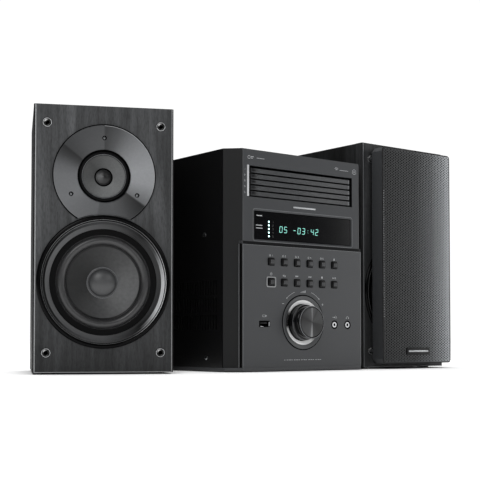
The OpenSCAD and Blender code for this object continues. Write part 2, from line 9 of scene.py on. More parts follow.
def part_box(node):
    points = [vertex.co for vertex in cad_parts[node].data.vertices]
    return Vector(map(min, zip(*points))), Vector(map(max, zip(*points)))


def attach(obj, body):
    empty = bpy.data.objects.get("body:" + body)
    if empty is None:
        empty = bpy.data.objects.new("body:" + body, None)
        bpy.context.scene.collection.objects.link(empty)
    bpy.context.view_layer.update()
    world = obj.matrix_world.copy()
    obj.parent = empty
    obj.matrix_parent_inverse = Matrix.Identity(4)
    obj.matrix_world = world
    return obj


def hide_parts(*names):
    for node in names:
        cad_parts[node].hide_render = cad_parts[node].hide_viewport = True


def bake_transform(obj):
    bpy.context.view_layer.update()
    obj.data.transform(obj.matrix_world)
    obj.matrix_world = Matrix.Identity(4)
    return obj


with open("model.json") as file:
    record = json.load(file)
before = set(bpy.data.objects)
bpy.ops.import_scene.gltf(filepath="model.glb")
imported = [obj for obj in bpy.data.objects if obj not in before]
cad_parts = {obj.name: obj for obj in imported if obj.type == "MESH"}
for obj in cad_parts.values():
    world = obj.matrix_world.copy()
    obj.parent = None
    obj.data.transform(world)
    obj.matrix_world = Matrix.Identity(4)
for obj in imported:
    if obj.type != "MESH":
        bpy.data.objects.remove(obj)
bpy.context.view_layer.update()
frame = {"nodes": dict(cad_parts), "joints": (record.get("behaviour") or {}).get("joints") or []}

MM = 0.001
FACING = Matrix.Rotation(math.pi / 2, 4, "X")  # a turned piece's own +Z comes to face the front
UNIT = "main_unit"
SIDES = ("left", "right")
SURFACES = {}
MARK_T = 0.05   # thickness of a printed mark, in millimetres
ON_AXIS = 1e-6  # an outline's point with a smaller radius lies on the turning axis

CAMERA_PLACE = (-0.8992, -1.17, 0.0392)
CAMERA_ANGLES = (92.135, 0, -38.01)
# Each light's place, what it points at, its width and height in metres, and its watts
LIGHTS = {
    "key": ((-2.2, -1.9, 1.9), (0, -0.1, 0.15), (1.3, 1.3), 24),
    "fill": ((0.2, -3.0, 1.5), (0, -0.1, 0.15), (1.2, 1.0), 9),
    "side_panel": ((1.95, -1.44, 0.75), (0.2, -0.1, 0.15), (0.9, 1.5), 9),
    "top_panel": ((0.1, 0.45, 2.4), (0, 0, 0.1), (2.2, 1.2), 34),
}


# ------------------------------------------------------------------ camera, floor and lights

def add_node(tree, kind, inputs, **settings):
    """A new shader node with its settings, and each input set to a value or linked to an output."""
    made = tree.nodes.new("ShaderNode" + kind)
    for key, value in settings.items():
        setattr(made, key, value)
    for key, value in inputs.items():
        if isinstance(value, bpy.types.NodeSocket):
            tree.links.new(value, made.inputs[key])
        else:
            made.inputs[key].default_value = value
    return made


def make_camera():
    """Low camera to the left of the set, at the reference view's angle."""
    data = bpy.data.cameras.new("camera")
    data.lens = 80.3
    data.sensor_width = 36
    data.shift_y = 0.125
    data.clip_start = 0.05
    camera = bpy.data.objects.new("camera", data)
    camera.location = CAMERA_PLACE
    camera.rotation_euler = [math.radians(a) for a in CAMERA_ANGLES]
    bpy.context.scene.collection.objects.link(camera)
    bpy.context.scene.camera = camera


def make_lights():
    for name, (place, target, size, power) in LIGHTS.items():
        data = bpy.data.lights.new(name, "AREA")
        data.shape = "RECTANGLE"
        data.size, data.size_y = size
        data.energy = power
        light = bpy.data.objects.new(name, data)
        light.location = place
        aim = Vector(target) - Vector(place)
        light.rotation_euler = aim.to_track_quat("-Z", "Y").to_euler()
        bpy.context.scene.collection.objects.link(light)


def make_world():
    """A white backdrop for the camera, and a dim sky for everything else."""
    world = bpy.data.worlds.new("studio")
    world.use_nodes = True
    tree = world.node_tree
    seen = add_node(tree, "Background", {"Color": (1, 1, 1, 1), "Strength": 1.05})
    dim = add_node(tree, "Background", {"Color": (0.95, 0.97, 1, 1), "Strength": 0.12})
    path = add_node(tree, "LightPath", {})
    mix = add_node(tree, "MixShader", {"Fac": path.outputs["Is Camera Ray"], 1: dim.outputs["Background"],
                                       2: seen.outputs["Background"]})
    tree.links.new(mix.outputs["Shader"], tree.nodes["World Output"].inputs["Surface"])
    bpy.context.scene.world = world
    bpy.context.scene.view_settings.view_transform = "Standard"


def make_floor():
    """Pale floor that glows white, less so near the object and in the shadow where it stands."""
    floor = plain("floor_white", (0.8, 0.8, 0.8), 0.9, (4, 0.01)).glow((1, 1, 1), 1)
    contact = floor.node("AmbientOcclusion", {"Distance": 0.035}, samples=8)
    near = floor.spread(contact.outputs["AO"], 0.0, 1.0, 0.25, 0.9)
    far = floor.spread(floor.distance(), 0.6, 1.0, 0.3, 0.95)
    floor.feed("Emission Strength", floor.node("Math", {0: near, 1: far}, operation="MULTIPLY").outputs[0])
    build = bmesh.new()
    bmesh.ops.create_grid(build, x_segments=2, y_segments=2, size=9)
    add_object("studio_floor", mesh_from(build, "studio_floor"), "floor_white")


# ------------------------------------------------------------------ materials

class Surface:
    """A Principled material whose colour, roughness and bump come from nodes."""

    def __init__(self, name, colour, roughness, metallic=0.0, specular=0.5):
        SURFACES[name] = self
        self.material = bpy.data.materials.new(name)
        self.material.use_nodes = True
        self.tree = self.material.node_tree
        self.shader = self.tree.nodes["Principled BSDF"]
        self.colour = colour
        self.roughness = roughness
        self.shader.inputs["Base Color"].default_value = (*colour, 1)
        self.shader.inputs["Roughness"].default_value = roughness
        self.shader.inputs["Metallic"].default_value = metallic
        self.shader.inputs["Specular IOR Level"].default_value = specular
        self.place = self.node("TexCoord", {})

    def node(self, kind, inputs, **settings):
        return add_node(self.tree, kind, inputs, **settings)

    def feed(self, name, source):
        self.tree.links.new(source, self.shader.inputs[name])

    def noise(self, scale, detail=3.0, stretch=(1, 1, 1), distortion=0.0):
        """Noise in the piece's own space, in cycles per metre."""
        spot = self.node("Mapping", {"Vector": self.place.outputs["Object"], "Scale": stretch})
        return self.node("TexNoise", {"Vector": spot.outputs["Vector"], "Scale": scale, "Detail": detail,
                                      "Distortion": distortion}).outputs["Fac"]

    def distance(self):
        """Distance in metres from the piece's own origin."""
        return self.node("VectorMath", {0: self.place.outputs["Object"]}, operation="LENGTH").outputs["Value"]

    def part_of(self, kind, axis):
        """One coordinate of the Object or Normal output."""
        return self.node("SeparateXYZ", {0: self.place.outputs[kind]}).outputs[axis]

    def ramp(self, source, stops):
        """Colour by source; each stop is a position and either a colour or one level of grey."""
        node = self.node("ValToRGB", {"Fac": source})
        elements = node.color_ramp.elements
        while len(elements) < len(stops):
            elements.new(0.5)
        for element, (position, colour) in zip(elements, stops):
            element.position = position
            element.color = (*(colour if hasattr(colour, "__len__") else [colour] * 3), 1)
        return node.outputs["Color"]

    def spread(self, source, low, high, start=0.3, end=0.7):
        """Maps start..end, which is the middle of a noise, to the range low..high."""
        return self.node("MapRange", {"Value": source, "From Min": start, "From Max": end, "To Min": low,
                                      "To Max": high}).outputs["Result"]

    def tinted(self, factor):
        return [c * factor for c in self.colour]

    def times(self, first, second):
        return self.node("Mix", {"Factor": 1, "A": first, "B": second}, data_type="RGBA",
                         blend_type="MULTIPLY").outputs["Result"]

    def shade_by(self, shade):
        """Multiplies the colour there is by shade."""
        self.feed("Base Color", self.times(self.shader.inputs["Base Color"].links[0].from_socket, shade))
        return self

    def speckle(self, scale, amount, **noise):
        """Light and dark variation of the colour, and a little of the roughness."""
        source = self.noise(scale, **noise)
        self.feed("Base Color", self.ramp(source, [(0.3, self.tinted(1 - amount)),
                                                   (0.7, self.tinted(1 + amount))]))
        self.feed("Roughness", self.spread(source, self.roughness * 0.94, self.roughness * 1.06))
        return self

    def relief(self, source, height, strength):
        """Fine bumps from source; height is in millimetres."""
        bumps = self.node("Bump", {"Height": source, "Distance": height * MM, "Strength": strength})
        self.feed("Normal", bumps.outputs["Normal"])
        return self

    def conic(self, stops, scale, amount):
        """Painted light: brightness by angle round the piece's own axis, in degrees from its +X, standing in
        for highlights, reflections and shade, times a fine grain.
        """
        angle = self.node("Math", {0: self.part_of("Object", "Y"), 1: self.part_of("Object", "X")},
                          operation="ARCTAN2")
        turn = self.spread(angle.outputs[0], 0, 1, -math.pi, math.pi)
        grain = self.ramp(self.noise(scale), [(0.3, 1 - amount), (0.7, 1 + amount)])
        colours = [(a / 360 + 0.5, self.tinted(level)) for a, level in stops]
        self.feed("Base Color", self.times(self.ramp(turn, colours), grain))
        return self

    def across(self, axis, stops):
        """Painted light and shade: multiplies the colour along one axis; each stop is a place in millimetres
        and a factor.
        """
        first, last = stops[0][0], stops[-1][0]
        share = self.spread(self.part_of("Object", axis), 0, 1, first * MM, last * MM)
        return self.shade_by(self.ramp(share, [((place - first) / (last - first), k) for place, k in stops]))

    def dark_sides(self, amount):
        """Painted shade: multiplies the colour by amount where the surface faces left or right."""
        size = self.node("Math", {0: self.part_of("Normal", "X")}, operation="ABSOLUTE")
        return self.shade_by(self.ramp(size.outputs[0], [(0.25, 1), (0.6, amount)]))

    def glow(self, colour, strength):
        self.shader.inputs["Emission Color"].default_value = (*colour, 1)
        self.shader.inputs["Emission Strength"].default_value = strength
        return self


def plain(name, colour, roughness, speckle=(300, 0.05), bump=None, stretch=(1, 1, 1), **more):
    """A speckled surface; bump is its noise scale, height in millimetres and strength."""
    surface = Surface(name, colour, roughness, **more).speckle(*speckle, stretch=stretch)
    return surface.relief(surface.noise(bump[0]), *bump[1:]) if bump else surface


def veneer(name, level, contrast):
    """Black ash foil: fine upright pores over a broad cloudy figure."""
    surface = Surface(name, (level, level * 1.03, level * 1.07), 0.5, specular=0.28)
    figure = surface.noise(30, 5, (1, 1, 0.09), 1.6)
    streaks = surface.noise(110, 4, (1, 1, 0.04), 0.8)
    pores = surface.noise(800, 3, (1, 1, 0.2), 0.4)
    colour = surface.ramp(figure, [(0.28, surface.tinted(1 - contrast)), (0.5, surface.colour),
                                   (0.72, surface.tinted(1 + contrast))])
    soft = surface.ramp(streaks, [(0.35, 1 - contrast * 0.85), (0.65, 1 + contrast * 0.6)])
    fine = surface.ramp(pores, [(0.34, 0.74), (0.5, 1.0), (0.66, 1.14)])
    surface.feed("Base Color", surface.times(surface.times(colour, soft), fine))
    surface.feed("Roughness", surface.spread(pores, 0.58, 0.44))
    return surface.relief(pores, 0.12, 0.35)


def turned_surface(name, colour, roughness, grain, stops, bump=None, **more):
    """A surface with painted highlights and shade by angle: grain is the noise's scale and amount, stops its
    painted brightness by angle.
    """
    surface = Surface(name, colour, roughness, **more).conic(stops, *grain)
    return surface.relief(surface.noise(bump[0]), *bump[1:]) if bump else surface


def make_plain_surfaces():
    # Painted shade: the baffle's veneer darkens towards its foot.
    veneer("veneer", 0.056, 0.42).across("Z", [(10, 0.4), (90, 0.66), (200, 0.97), (300, 0.97)])
    # Darker copy of the veneer for the right baffle, as painted shade.
    veneer("veneer_in_painted_shade", 0.030, 0.35)
    # Much darker copy of the veneer for the cabinets, as painted shade on their sides.
    veneer("veneer_side_in_painted_shade", 0.011, 0.75)
    # The fascia and panel carry painted shade where they face left or right.
    plain("fascia", (0.041, 0.043, 0.046), 0.42, (900, 0.07), (2600, 0.02, 0.3),
          specular=0.28).dark_sides(0.12)
    plain("panel", (0.043, 0.045, 0.048), 0.40, (900, 0.07), (2600, 0.02, 0.3), specular=0.4).dark_sides(0.3)
    plain("plinth", (0.044, 0.046, 0.049), 0.46, (700, 0.08), (2200, 0.03, 0.3))
    plain("case", (0.0035, 0.0035, 0.0038), 0.42, (1200, 0.2), (1900, 0.04, 0.35))
    plain("window", (0.0012, 0.0012, 0.0016), 0.13, (60, 0.1), specular=0.25)
    plain("tray", (0.060, 0.062, 0.065), 0.38, (600, 0.08), stretch=(0.1, 1, 1), specular=0.25)
    plain("tray_end", (0.11, 0.113, 0.118), 0.35, (600, 0.08))
    plain("tray_tab", (0.020, 0.021, 0.023), 0.3, (500, 0.1), specular=0.25)
    plain("button", (0.095, 0.097, 0.10), 0.36, (900, 0.1), specular=0.2)
    plain("bezel", (0.058, 0.060, 0.063), 0.36, (900, 0.06))
    plain("dark_chrome", (0.05, 0.05, 0.05), 0.25, metallic=0.8)
    plain("knob_side", (0.006, 0.0062, 0.0068), 0.14, (400, 0.1), metallic=0.3)
    plain("bright", (0.72, 0.73, 0.74), 0.3, metallic=0.2)
    # Pale grey: the indicator bar's own colour; also a painted highlight on the USB rim and the left
    # speaker's peg rims.
    plain("pale", (0.50, 0.51, 0.52), 0.35)
    plain("standby", (0.26, 0.265, 0.27), 0.35)
    # Thin lighter lines of painted highlight along edges, folds and rings, and dimmer painted copies on the
    # right speaker.
    plain("edge", (0.13, 0.134, 0.14), 0.35)
    # Brighter lines of painted highlight along edges.
    plain("painted_edge_highlight", (0.30, 0.305, 0.31), 0.4, (300, 0.1))
    # Near-black plastic; also laid as painted shade on the panel's sloping top, the baffles' folds and the
    # woofer cone's lip.
    plain("shade", (0.007, 0.007, 0.0075), 0.35, (500, 0.1), specular=0.2)
    # Black standing in for the shade inside holes, grooves and gaps: painted shade.
    plain("painted_shade_black", (0.001, 0.001, 0.001), 0.8, (500, 0.1), specular=0.04)
    plain("ink", (0.42, 0.43, 0.44), 0.5, (1500, 0.08))
    plain("silver", (0.42, 0.43, 0.44), 0.35, (900, 0.06), stretch=(0.05, 1, 1), metallic=0.3)
    plain("black", (0.005, 0.005, 0.0055), 0.42, (800, 0.15), (1500, 0.03, 0.3), specular=0.2)
    plain("rubber", (0.008, 0.008, 0.009), 0.55, (500, 0.2), (1400, 0.04, 0.3), specular=0.3)
    plain("surround", (0.034, 0.034, 0.035), 0.3, (500, 0.12), (900, 0.02, 0.2))
    plain("flange", (0.002, 0.002, 0.0022), 0.5, (500, 0.12), specular=0.08)
    plain("ring", (0.002, 0.002, 0.0022), 0.16, (200, 0.1), specular=0.07)
    plain("cap", (0.044, 0.045, 0.047), 0.4, (300, 0.08), specular=0.7)
    plain("grille_frame", (0.050, 0.052, 0.055), 0.4, (700, 0.08), (2000, 0.02, 0.3), specular=0.3)
    # Painted sheen: the grille's sheet grows lighter towards its right edge.
    plain("mesh", (0.10, 0.104, 0.108), 0.34, (500, 0.08), metallic=0.5).across(
        "X", [(130, 0.12), (200, 0.28), (232, 0.8), (256, 2.0), (262, 2.6), (272, 3.6)])
    plain("steel", (0.30, 0.31, 0.32), 0.32, (300, 0.08), stretch=(0.1, 1, 1), metallic=1.0)
    plain("basket", (0.03, 0.03, 0.032), 0.4, (600, 0.1))
    plain("board", (0.015, 0.07, 0.03), 0.4, (200, 0.15))
    plain("core", (0.12, 0.09, 0.05), 0.5, (900, 0.2), stretch=(1, 1, 6), metallic=0.3)
    plain("ivory", (0.52, 0.50, 0.45), 0.45)
    plain("red", (0.42, 0.02, 0.015), 0.35, (300, 0.06))
    plain("lit", (0.5, 0.9, 0.88), 0.4, (300, 0.02)).glow((0.62, 1.0, 0.94), 2.6)
    plain("segment", (0.2, 0.5, 0.45), 0.4, (300, 0.02)).glow((0.25, 0.72, 0.60), 0.9)
    plain("unlit", (0.05, 0.052, 0.052), 0.4)


def make_turned_surfaces():
    """Surfaces with painted highlights, reflections and shade by angle. Stops are angles in degrees, 0 to the
    right and 90 up, and brightness there.
    """
    warm, cool = (0.85, 0.86, 0.87), (0.85, 0.86, 0.88)
    turned_surface("dish", (1.0, 1.0, 1.0), 0.2, (400, 0.02), [
        (-180, 0.02), (-170, 0.02), (-162, 0.6), (-140, 0.97), (-95, 0.98), (-62, 0.8), (-45, 0.1),
        (0, 0.03), (38, 0.05), (48, 0.7), (80, 0.98), (125, 0.97), (146, 0.8), (153, 0.2), (160, 0.04),
        (180, 0.02)])
    turned_surface("knob_face", cool, 0.32, (700, 0.08), [
        (-180, 0.035), (-150, 0.05), (-118, 0.06), (-102, 0.09), (-95, 0.28), (-90, 0.26), (-84, 0.04),
        (-45, 0.016), (-12, 0.016), (-4, 0.035), (30, 0.05), (52, 0.045), (60, 0.03), (84, 0.08),
        (91, 0.22), (97, 0.07), (130, 0.05), (160, 0.02), (180, 0.035)], metallic=0.4)
    turned_surface("liner", (0.9, 0.9, 0.9), 0.3, (300, 0.1), [
        (-180, 0.02), (-100, 0.01), (-70, 0.08), (-40, 0.01), (70, 0.01), (100, 0.3), (130, 0.7),
        (160, 0.3), (180, 0.02)], specular=0.2)
    turned_surface("bead", (0.9, 0.91, 0.93), 0.3, (200, 0.05), [
        (-180, 0.08), (-110, 0.10), (-62, 0.07), (-52, 0.3), (-30, 0.85), (0, 0.9), (18, 0.6), (35, 0.2),
        (60, 0.12), (95, 0.2), (130, 0.2), (160, 0.1), (180, 0.08)])
    turned_surface("funnel", cool, 0.3, (200, 0.04), [
        (-180, 0.010), (-140, 0.02), (-118, 0.09), (-90, 0.13), (-65, 0.05), (-52, 0.02), (-44, 0.2),
        (-28, 0.75), (0, 0.72), (15, 0.4), (30, 0.08), (50, 0.02), (75, 0.05), (100, 0.06), (125, 0.03),
        (150, 0.012), (180, 0.010)], specular=0.15)
    turned_surface("throat", cool, 0.3, (200, 0.04), [
        (-180, 0.11), (-150, 0.12), (-120, 0.12), (-90, 0.12), (-65, 0.05), (-50, 0.015), (-30, 0.045),
        (0, 0.05), (30, 0.03), (55, 0.02), (75, 0.06), (100, 0.09), (125, 0.12), (150, 0.13),
        (180, 0.11)], specular=0.15)
    turned_surface("cone", warm, 0.52, (260, 0.12), [
        (-180, 0.022), (-150, 0.030), (-112, 0.06), (-85, 0.088), (-50, 0.14), (-20, 0.145), (12, 0.12),
        (45, 0.07), (90, 0.038), (122, 0.024), (150, 0.018), (180, 0.022)], (700, 0.05, 0.4), specular=0.25)
    turned_surface("tweeter_plate", (0.80, 0.82, 0.85), 0.34, (400, 0.04), [
        (-180, 0.17), (-150, 0.19), (-125, 0.16), (-101, 0.15), (-99, 0.105), (-75, 0.10), (-52, 0.045),
        (-37, 0.016), (-35.5, 0.15), (-10, 0.33), (10, 0.34), (35, 0.26), (55, 0.17), (72, 0.08),
        (89.5, 0.036), (90.5, 0.078), (120, 0.068), (142, 0.05), (144, 0.018), (154, 0.05), (168, 0.13),
        (180, 0.17)], specular=0.25)
    turned_surface("tweeter_paper", (0.80, 0.82, 0.82), 0.45, (500, 0.1), [
        (-180, 0.08), (-130, 0.15), (-90, 0.23), (-45, 0.22), (0, 0.17), (45, 0.12), (90, 0.09),
        (135, 0.05), (180, 0.08)], (1200, 0.03, 0.3), specular=0.25)
    turned_surface("dome", warm, 0.36, (300, 0.1), [
        (-180, 0.13), (-140, 0.07), (-100, 0.03), (-40, 0.012), (30, 0.010), (90, 0.022), (135, 0.06),
        (165, 0.13), (180, 0.13)], specular=0.3)


# ------------------------------------------------------------------ outlines, in millimetres

def arc_points(cx, cy, rx, ry, degrees):
    """Points of an ellipse round (cx, cy), one for each angle in degrees."""
    return [(cx + rx * math.cos(math.radians(a)), cy + ry * math.sin(math.radians(a))) for a in degrees]


def rounded(points, radius, steps=3):
    """The closed outline with each corner eased by about that radius; points on the axis stay."""
    out = []
    count = len(points)
    for i, corner in enumerate(points):
        here = Vector(corner)
        before, after = Vector(points[i - 1]) - here, Vector(points[(i + 1) % count]) - here
        if here.x < ON_AXIS:
            out.append(tuple(here))
            continue
        start = here + before.normalized() * min(radius, before.length * 0.45)
        end = here + after.normalized() * min(radius, after.length * 0.45)
        for k in range(steps + 1):
            t = k / steps
            out.append(tuple(start * (1 - t) ** 2 + here * 2 * t * (1 - t) + end * t * t))
    return out


def soft_rect(w, h, r, cx=0.0, cz=0.0, steps=6):
    """Outline of a rectangle with round corners."""
    out = []
    for quarter, (sx, sz) in enumerate([(1, 1), (-1, 1), (-1, -1), (1, -1)]):
        for k in range(steps + 1):
            a = (quarter + k / steps) * math.pi / 2
            out.append((cx + sx * (w / 2 - r) + r * math.cos(a), cz + sz * (h / 2 - r) + r * math.sin(a)))
    return out


# ------------------------------------------------------------------ meshes, from millimetres

def mesh_from(build, name):
    bmesh.ops.recalc_face_normals(build, faces=build.faces)
    mesh = bpy.data.meshes.new(name)
    build.to_mesh(mesh)
    build.free()
    return mesh


def loops_into(build, loops, closed=True):
    """Faces between rows of vertices, each row joined to the next and the last to the first."""
    for loop, other in zip(loops, loops[1:] + loops[:1]):
        for k in range(len(loop) if closed else len(loop) - 1):
            j = (k + 1) % len(loop)
            corners = list(dict.fromkeys((loop[k], loop[j], other[j], other[k])))
            if len(corners) > 2:
                build.faces.new(corners)


def turned_mesh(name, outline, segments, start=0.0, sweep=2 * math.pi):
    """A closed outline of (radius, height) turned about +Z."""
    build = bmesh.new()
    full = sweep == 2 * math.pi
    angles = [start + sweep * k / segments for k in range(segments if full else segments + 1)]
    rings = []
    for r, h in outline:
        if r < ON_AXIS:
            rings.append([build.verts.new((0, 0, h * MM))] * len(angles))
        else:
            rings.append([build.verts.new((r * MM * math.cos(a), r * MM * math.sin(a), h * MM))
                          for a in angles])
    loops_into(build, rings, full)
    if not full:
        build.faces.new([ring[0] for ring in rings])
        build.faces.new([ring[-1] for ring in reversed(rings)])
    return mesh_from(build, name)


def boxes_mesh(name, boxes, bevel, steps=2):
    """Boxes from their lowest and highest corners, with their edges bevelled."""
    build = bmesh.new()
    for low, high in boxes:
        size = [(b - a) * MM for a, b in zip(low, high)]
        centre = [(a + b) / 2 * MM for a, b in zip(low, high)]
        bmesh.ops.create_cube(build, size=1, matrix=Matrix.Translation(centre) @ Matrix.Diagonal((*size, 1)))
    if bevel:
        bmesh.ops.bevel(build, geom=list(build.edges), offset=bevel * MM, segments=steps,
                        affect="EDGES", profile=0.5)
    return mesh_from(build, name)


def slab_into(build, corners, lift):
    """A thin slab from a flat outline and the way its front is lifted."""
    back = [build.verts.new(Vector(c) * MM) for c in corners]
    front = [build.verts.new((Vector(c) + Vector(lift)) * MM) for c in corners]
    build.faces.new(back)
    build.faces.new(front[::-1])
    for k in range(len(back)):
        j = (k + 1) % len(back)
        build.faces.new((back[j], back[k], front[k], front[j]))


def slabs_mesh(name, slabs):
    build = bmesh.new()
    for corners, lift in slabs:
        slab_into(build, corners, lift)
    return mesh_from(build, name)


def frame_mesh(name, outer, inner, y_outer, y_inner, y_back):
    """A ring between two outlines with the same number of points, sloping from outer to inner."""
    build = bmesh.new()
    loops_into(build, [[build.verts.new((x * MM, y * MM, z * MM)) for x, z in outline]
                       for outline, y in ((outer, y_back), (outer, y_outer), (inner, y_inner),
                                          (inner, y_back))])
    return mesh_from(build, name)


def screw_head_into(build, place, radius, height):
    """A domed head in four quadrants, with a cross slot between them."""
    slot = radius * 0.16
    middle_r = slot * 1.45
    reach = radius * 0.72
    steps = 6
    for quarter in range(4):
        turn = place @ Matrix.Rotation(quarter * math.pi / 2, 4, "Z")
        angles = [math.pi / 2 * j / steps for j in range(steps + 1)]
        rows = []
        for i in range(steps + 1):
            row = []
            for a in angles:
                r = middle_r + (radius - middle_r) * i / steps
                x, y = r * math.cos(a), r * math.sin(a)
                if r < reach:
                    x, y = max(x, slot), max(y, slot)
                dome = height * (1 - 0.55 * (math.hypot(x, y) / radius) ** 2)
                row.append(build.verts.new(turn @ Vector((x * MM, y * MM, dome * MM))))
            rows.append(row)
        rows.append([build.verts.new(turn @ Vector((radius * MM * math.cos(a), radius * MM * math.sin(a), 0)))
                     for a in angles])
        for row, outer in zip(rows, rows[1:]):
            for j in range(steps):
                build.faces.new((row[j], outer[j], outer[j + 1], row[j + 1]))
    bmesh.ops.create_circle(build, cap_ends=True, radius=radius * 0.75 * MM, segments=16,
                            matrix=place @ shift(0, 0, 0.15 * height))


# ------------------------------------------------------------------ pieces

def add_object(name, mesh, surface, place=None, smooth_angle=35):
    piece = bpy.data.objects.new(name, mesh)
    mesh.materials.append(SURFACES[surface].material)
    mesh.polygons.foreach_set("use_smooth", [True] * len(mesh.polygons))
    mesh.set_sharp_from_angle(angle=math.radians(smooth_angle))
    if place is not None:
        piece.matrix_world = place
    bpy.context.scene.collection.objects.link(piece)
    return piece


def add_piece(name, mesh, surface, slot, body=UNIT, place=None, replaces=None, smooth_angle=35):
    piece = add_object(name, mesh, surface, place, smooth_angle)
    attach(piece, body)
    if replaces:
        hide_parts(replaces)


def add_boxes(name, boxes, bevel, surface, slot, body=UNIT, **more):
    add_piece(name, boxes_mesh(name, boxes, bevel), surface, slot, body, **more)


def add_turned(name, outline, segments, surface, slot, body, place, **more):
    add_piece(name, turned_mesh(name, outline, segments), surface, slot, body, place, **more)


def ease_edges(node, width):
    """Softens a CAD node's hard edges with modifiers; its own mesh stays as packed."""
    piece = frame["nodes"][node]
    for kind, settings in (
            ("WELD", {"merge_threshold": 1e-6}),
            ("DECIMATE", {"decimate_type": "DISSOLVE", "angle_limit": math.radians(0.2)}),
            ("BEVEL", {"width": width * MM, "segments": 2, "limit_method": "ANGLE",
                       "angle_limit": math.radians(40)}),
            ("WEIGHTED_NORMAL", {"weight": 100, "keep_sharp": False})):
        modifier = piece.modifiers.new(kind.lower(), kind)
        for key, value in settings.items():
            setattr(modifier, key, value)


class Marks:
    """Flat printed marks: closed outlines in X and Z, in millimetres, given a little thickness."""

    def __init__(self):
        self.outlines = []

    def poly(self, points):
        self.outlines.append(points)

    def bar(self, x0, z0, x1, z1, w):
        dx, dz = x1 - x0, z1 - z0
        length = math.hypot(dx, dz)
        nx, nz = -dz / length * w / 2, dx / length * w / 2
        self.poly([(x0 - nx, z0 - nz), (x1 - nx, z1 - nz), (x1 + nx, z1 + nz), (x0 + nx, z0 + nz)])

    def level(self, x0, x1, z, w):
        self.bar(x0, z, x1, z, w)

    def upright(self, x, z0, z1, w):
        self.bar(x, z0, x, z1, w)

    def arc(self, cx, cz, r, w, a0=0.0, a1=360.0, steps=24):
        for k in range(steps):
            ends = [a0 + (a1 - a0) * t / steps for t in (k, k + 1)]
            inner, outer = (arc_points(cx, cz, q, q, ends) for q in (r - w / 2, r + w / 2))
            self.poly([inner[0], outer[0], outer[1], inner[1]])

    def dot(self, cx, cz, r, steps=20):
        self.poly(arc_points(cx, cz, r, r, [360 * k / steps for k in range(steps)]))

    def triangle(self, cx, cz, size, turn):
        """turn is where the tip points: 0 right, 90 up."""
        self.poly(arc_points(cx, cz, size, size, [turn, turn + 125, turn + 235]))

    def number(self, text, cx, cz, height, stroke, lean=0.0, pitch=0.0):
        """Seven-segment figures, with a dash and a colon."""
        lit = {"0": "abcdef", "1": "bc", "2": "abged", "3": "abgcd", "4": "fgbc", "5": "afgcd",
               "6": "afgedc", "7": "abc", "8": "abcdefg", "9": "abcdfg", "-": "g", " ": "", ":": ""}
        half, wide, gap = height / 2, height * 0.29, stroke * 0.35
        ends = {"a": (-wide, half, wide, half), "b": (wide, half, wide, 0), "c": (wide, 0, wide, -half),
                "d": (-wide, -half, wide, -half), "e": (-wide, 0, -wide, -half),
                "f": (-wide, half, -wide, 0), "g": (-wide, 0, wide, 0)}
        for i, sign in enumerate(text):
            ox = cx + (i - (len(text) - 1) / 2) * pitch
            for name in lit[sign]:
                x0, z0, x1, z1 = ends[name]
                dx, dz = x1 - x0, z1 - z0
                length = math.hypot(dx, dz)
                gx, gz = dx / length * gap, dz / length * gap
                self.bar(ox + x0 + gx + lean * z0, cz + z0 + gz, ox + x1 - gx + lean * z1, cz + z1 - gz,
                         stroke)
            if sign == ":":
                for rise in (height * 0.2, -height * 0.2):
                    self.dot(ox + lean * rise, cz + rise, stroke * 0.6)

    def add(self, name, y, surface, slot):
        """The marks as one piece, on the main unit's front at y."""
        slabs = [([(x, y, z) for x, z in points], (0, -MARK_T, 0)) for points in self.outlines]
        add_piece(name, slabs_mesh(name, slabs), surface, slot)


# ------------------------------------------------------------------ places taken from the frame

def shift(x, y, z):
    return Matrix.Translation((x * MM, y * MM, z * MM))


def at(x, y, z):
    return shift(x, y, z) @ FACING


def box(node):
    """A node's lowest and highest corners, in millimetres."""
    return [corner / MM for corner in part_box(node)]


def middle(node):
    """The centre of a node's box, in millimetres."""
    low, high = box(node)
    return (low + high) / 2


def speaker_place(side):
    """A speaker's own frame: baffle front at y = 0, centre line at x = 0, floor at z = 0."""
    axis = next(j["axis"] for j in frame["joints"] if j["name"] == side + "_woofer_travel")
    yaw = math.atan2(axis[0], -axis[1])
    low, high = box("right_cabinet")
    centre = middle(side + "_cabinet")
    return (shift(centre.x, centre.y, 0) @ Matrix.Rotation(yaw, 4, "Z")
            @ shift(0, -(high.y - low.y) / 2 - BAFFLE_T, 0))


BAFFLE_T = 12
PEG_X = 65
PEG_ZS = {"lower": 24.5, "upper": 286.8}
NOTCH_R = 78  # the woofer's ring takes a bite of this radius out of the tweeter's plate
WOOFER_Z = middle("right_woofer_ring").z
TWEETER_Z = middle("right_tweeter_cone").z
PANEL_Y = box("control_panel")[0].y
FASCIA_Y = box("front_fascia")[0].y
KNOB = middle("volume_knob")
SOCKET_Z = 58.9
USB_X = box("front_sockets")[0].x + 8.4
HEADPHONE_X = box("front_sockets")[1].x - 5.2
JACK_XS = {"audio_in": HEADPHONE_X - 23.1, "headphone": HEADPHONE_X}
DISC_BUTTONS = ["disc_%d_button" % number for number in range(1, 6)]
BUTTON_ROWS = (DISC_BUTTONS + ["eject_button"],
               ["power_button", "function_button", "previous_button", "next_button", "stop_button",
                "play_button"])


# ------------------------------------------------------------------ main unit

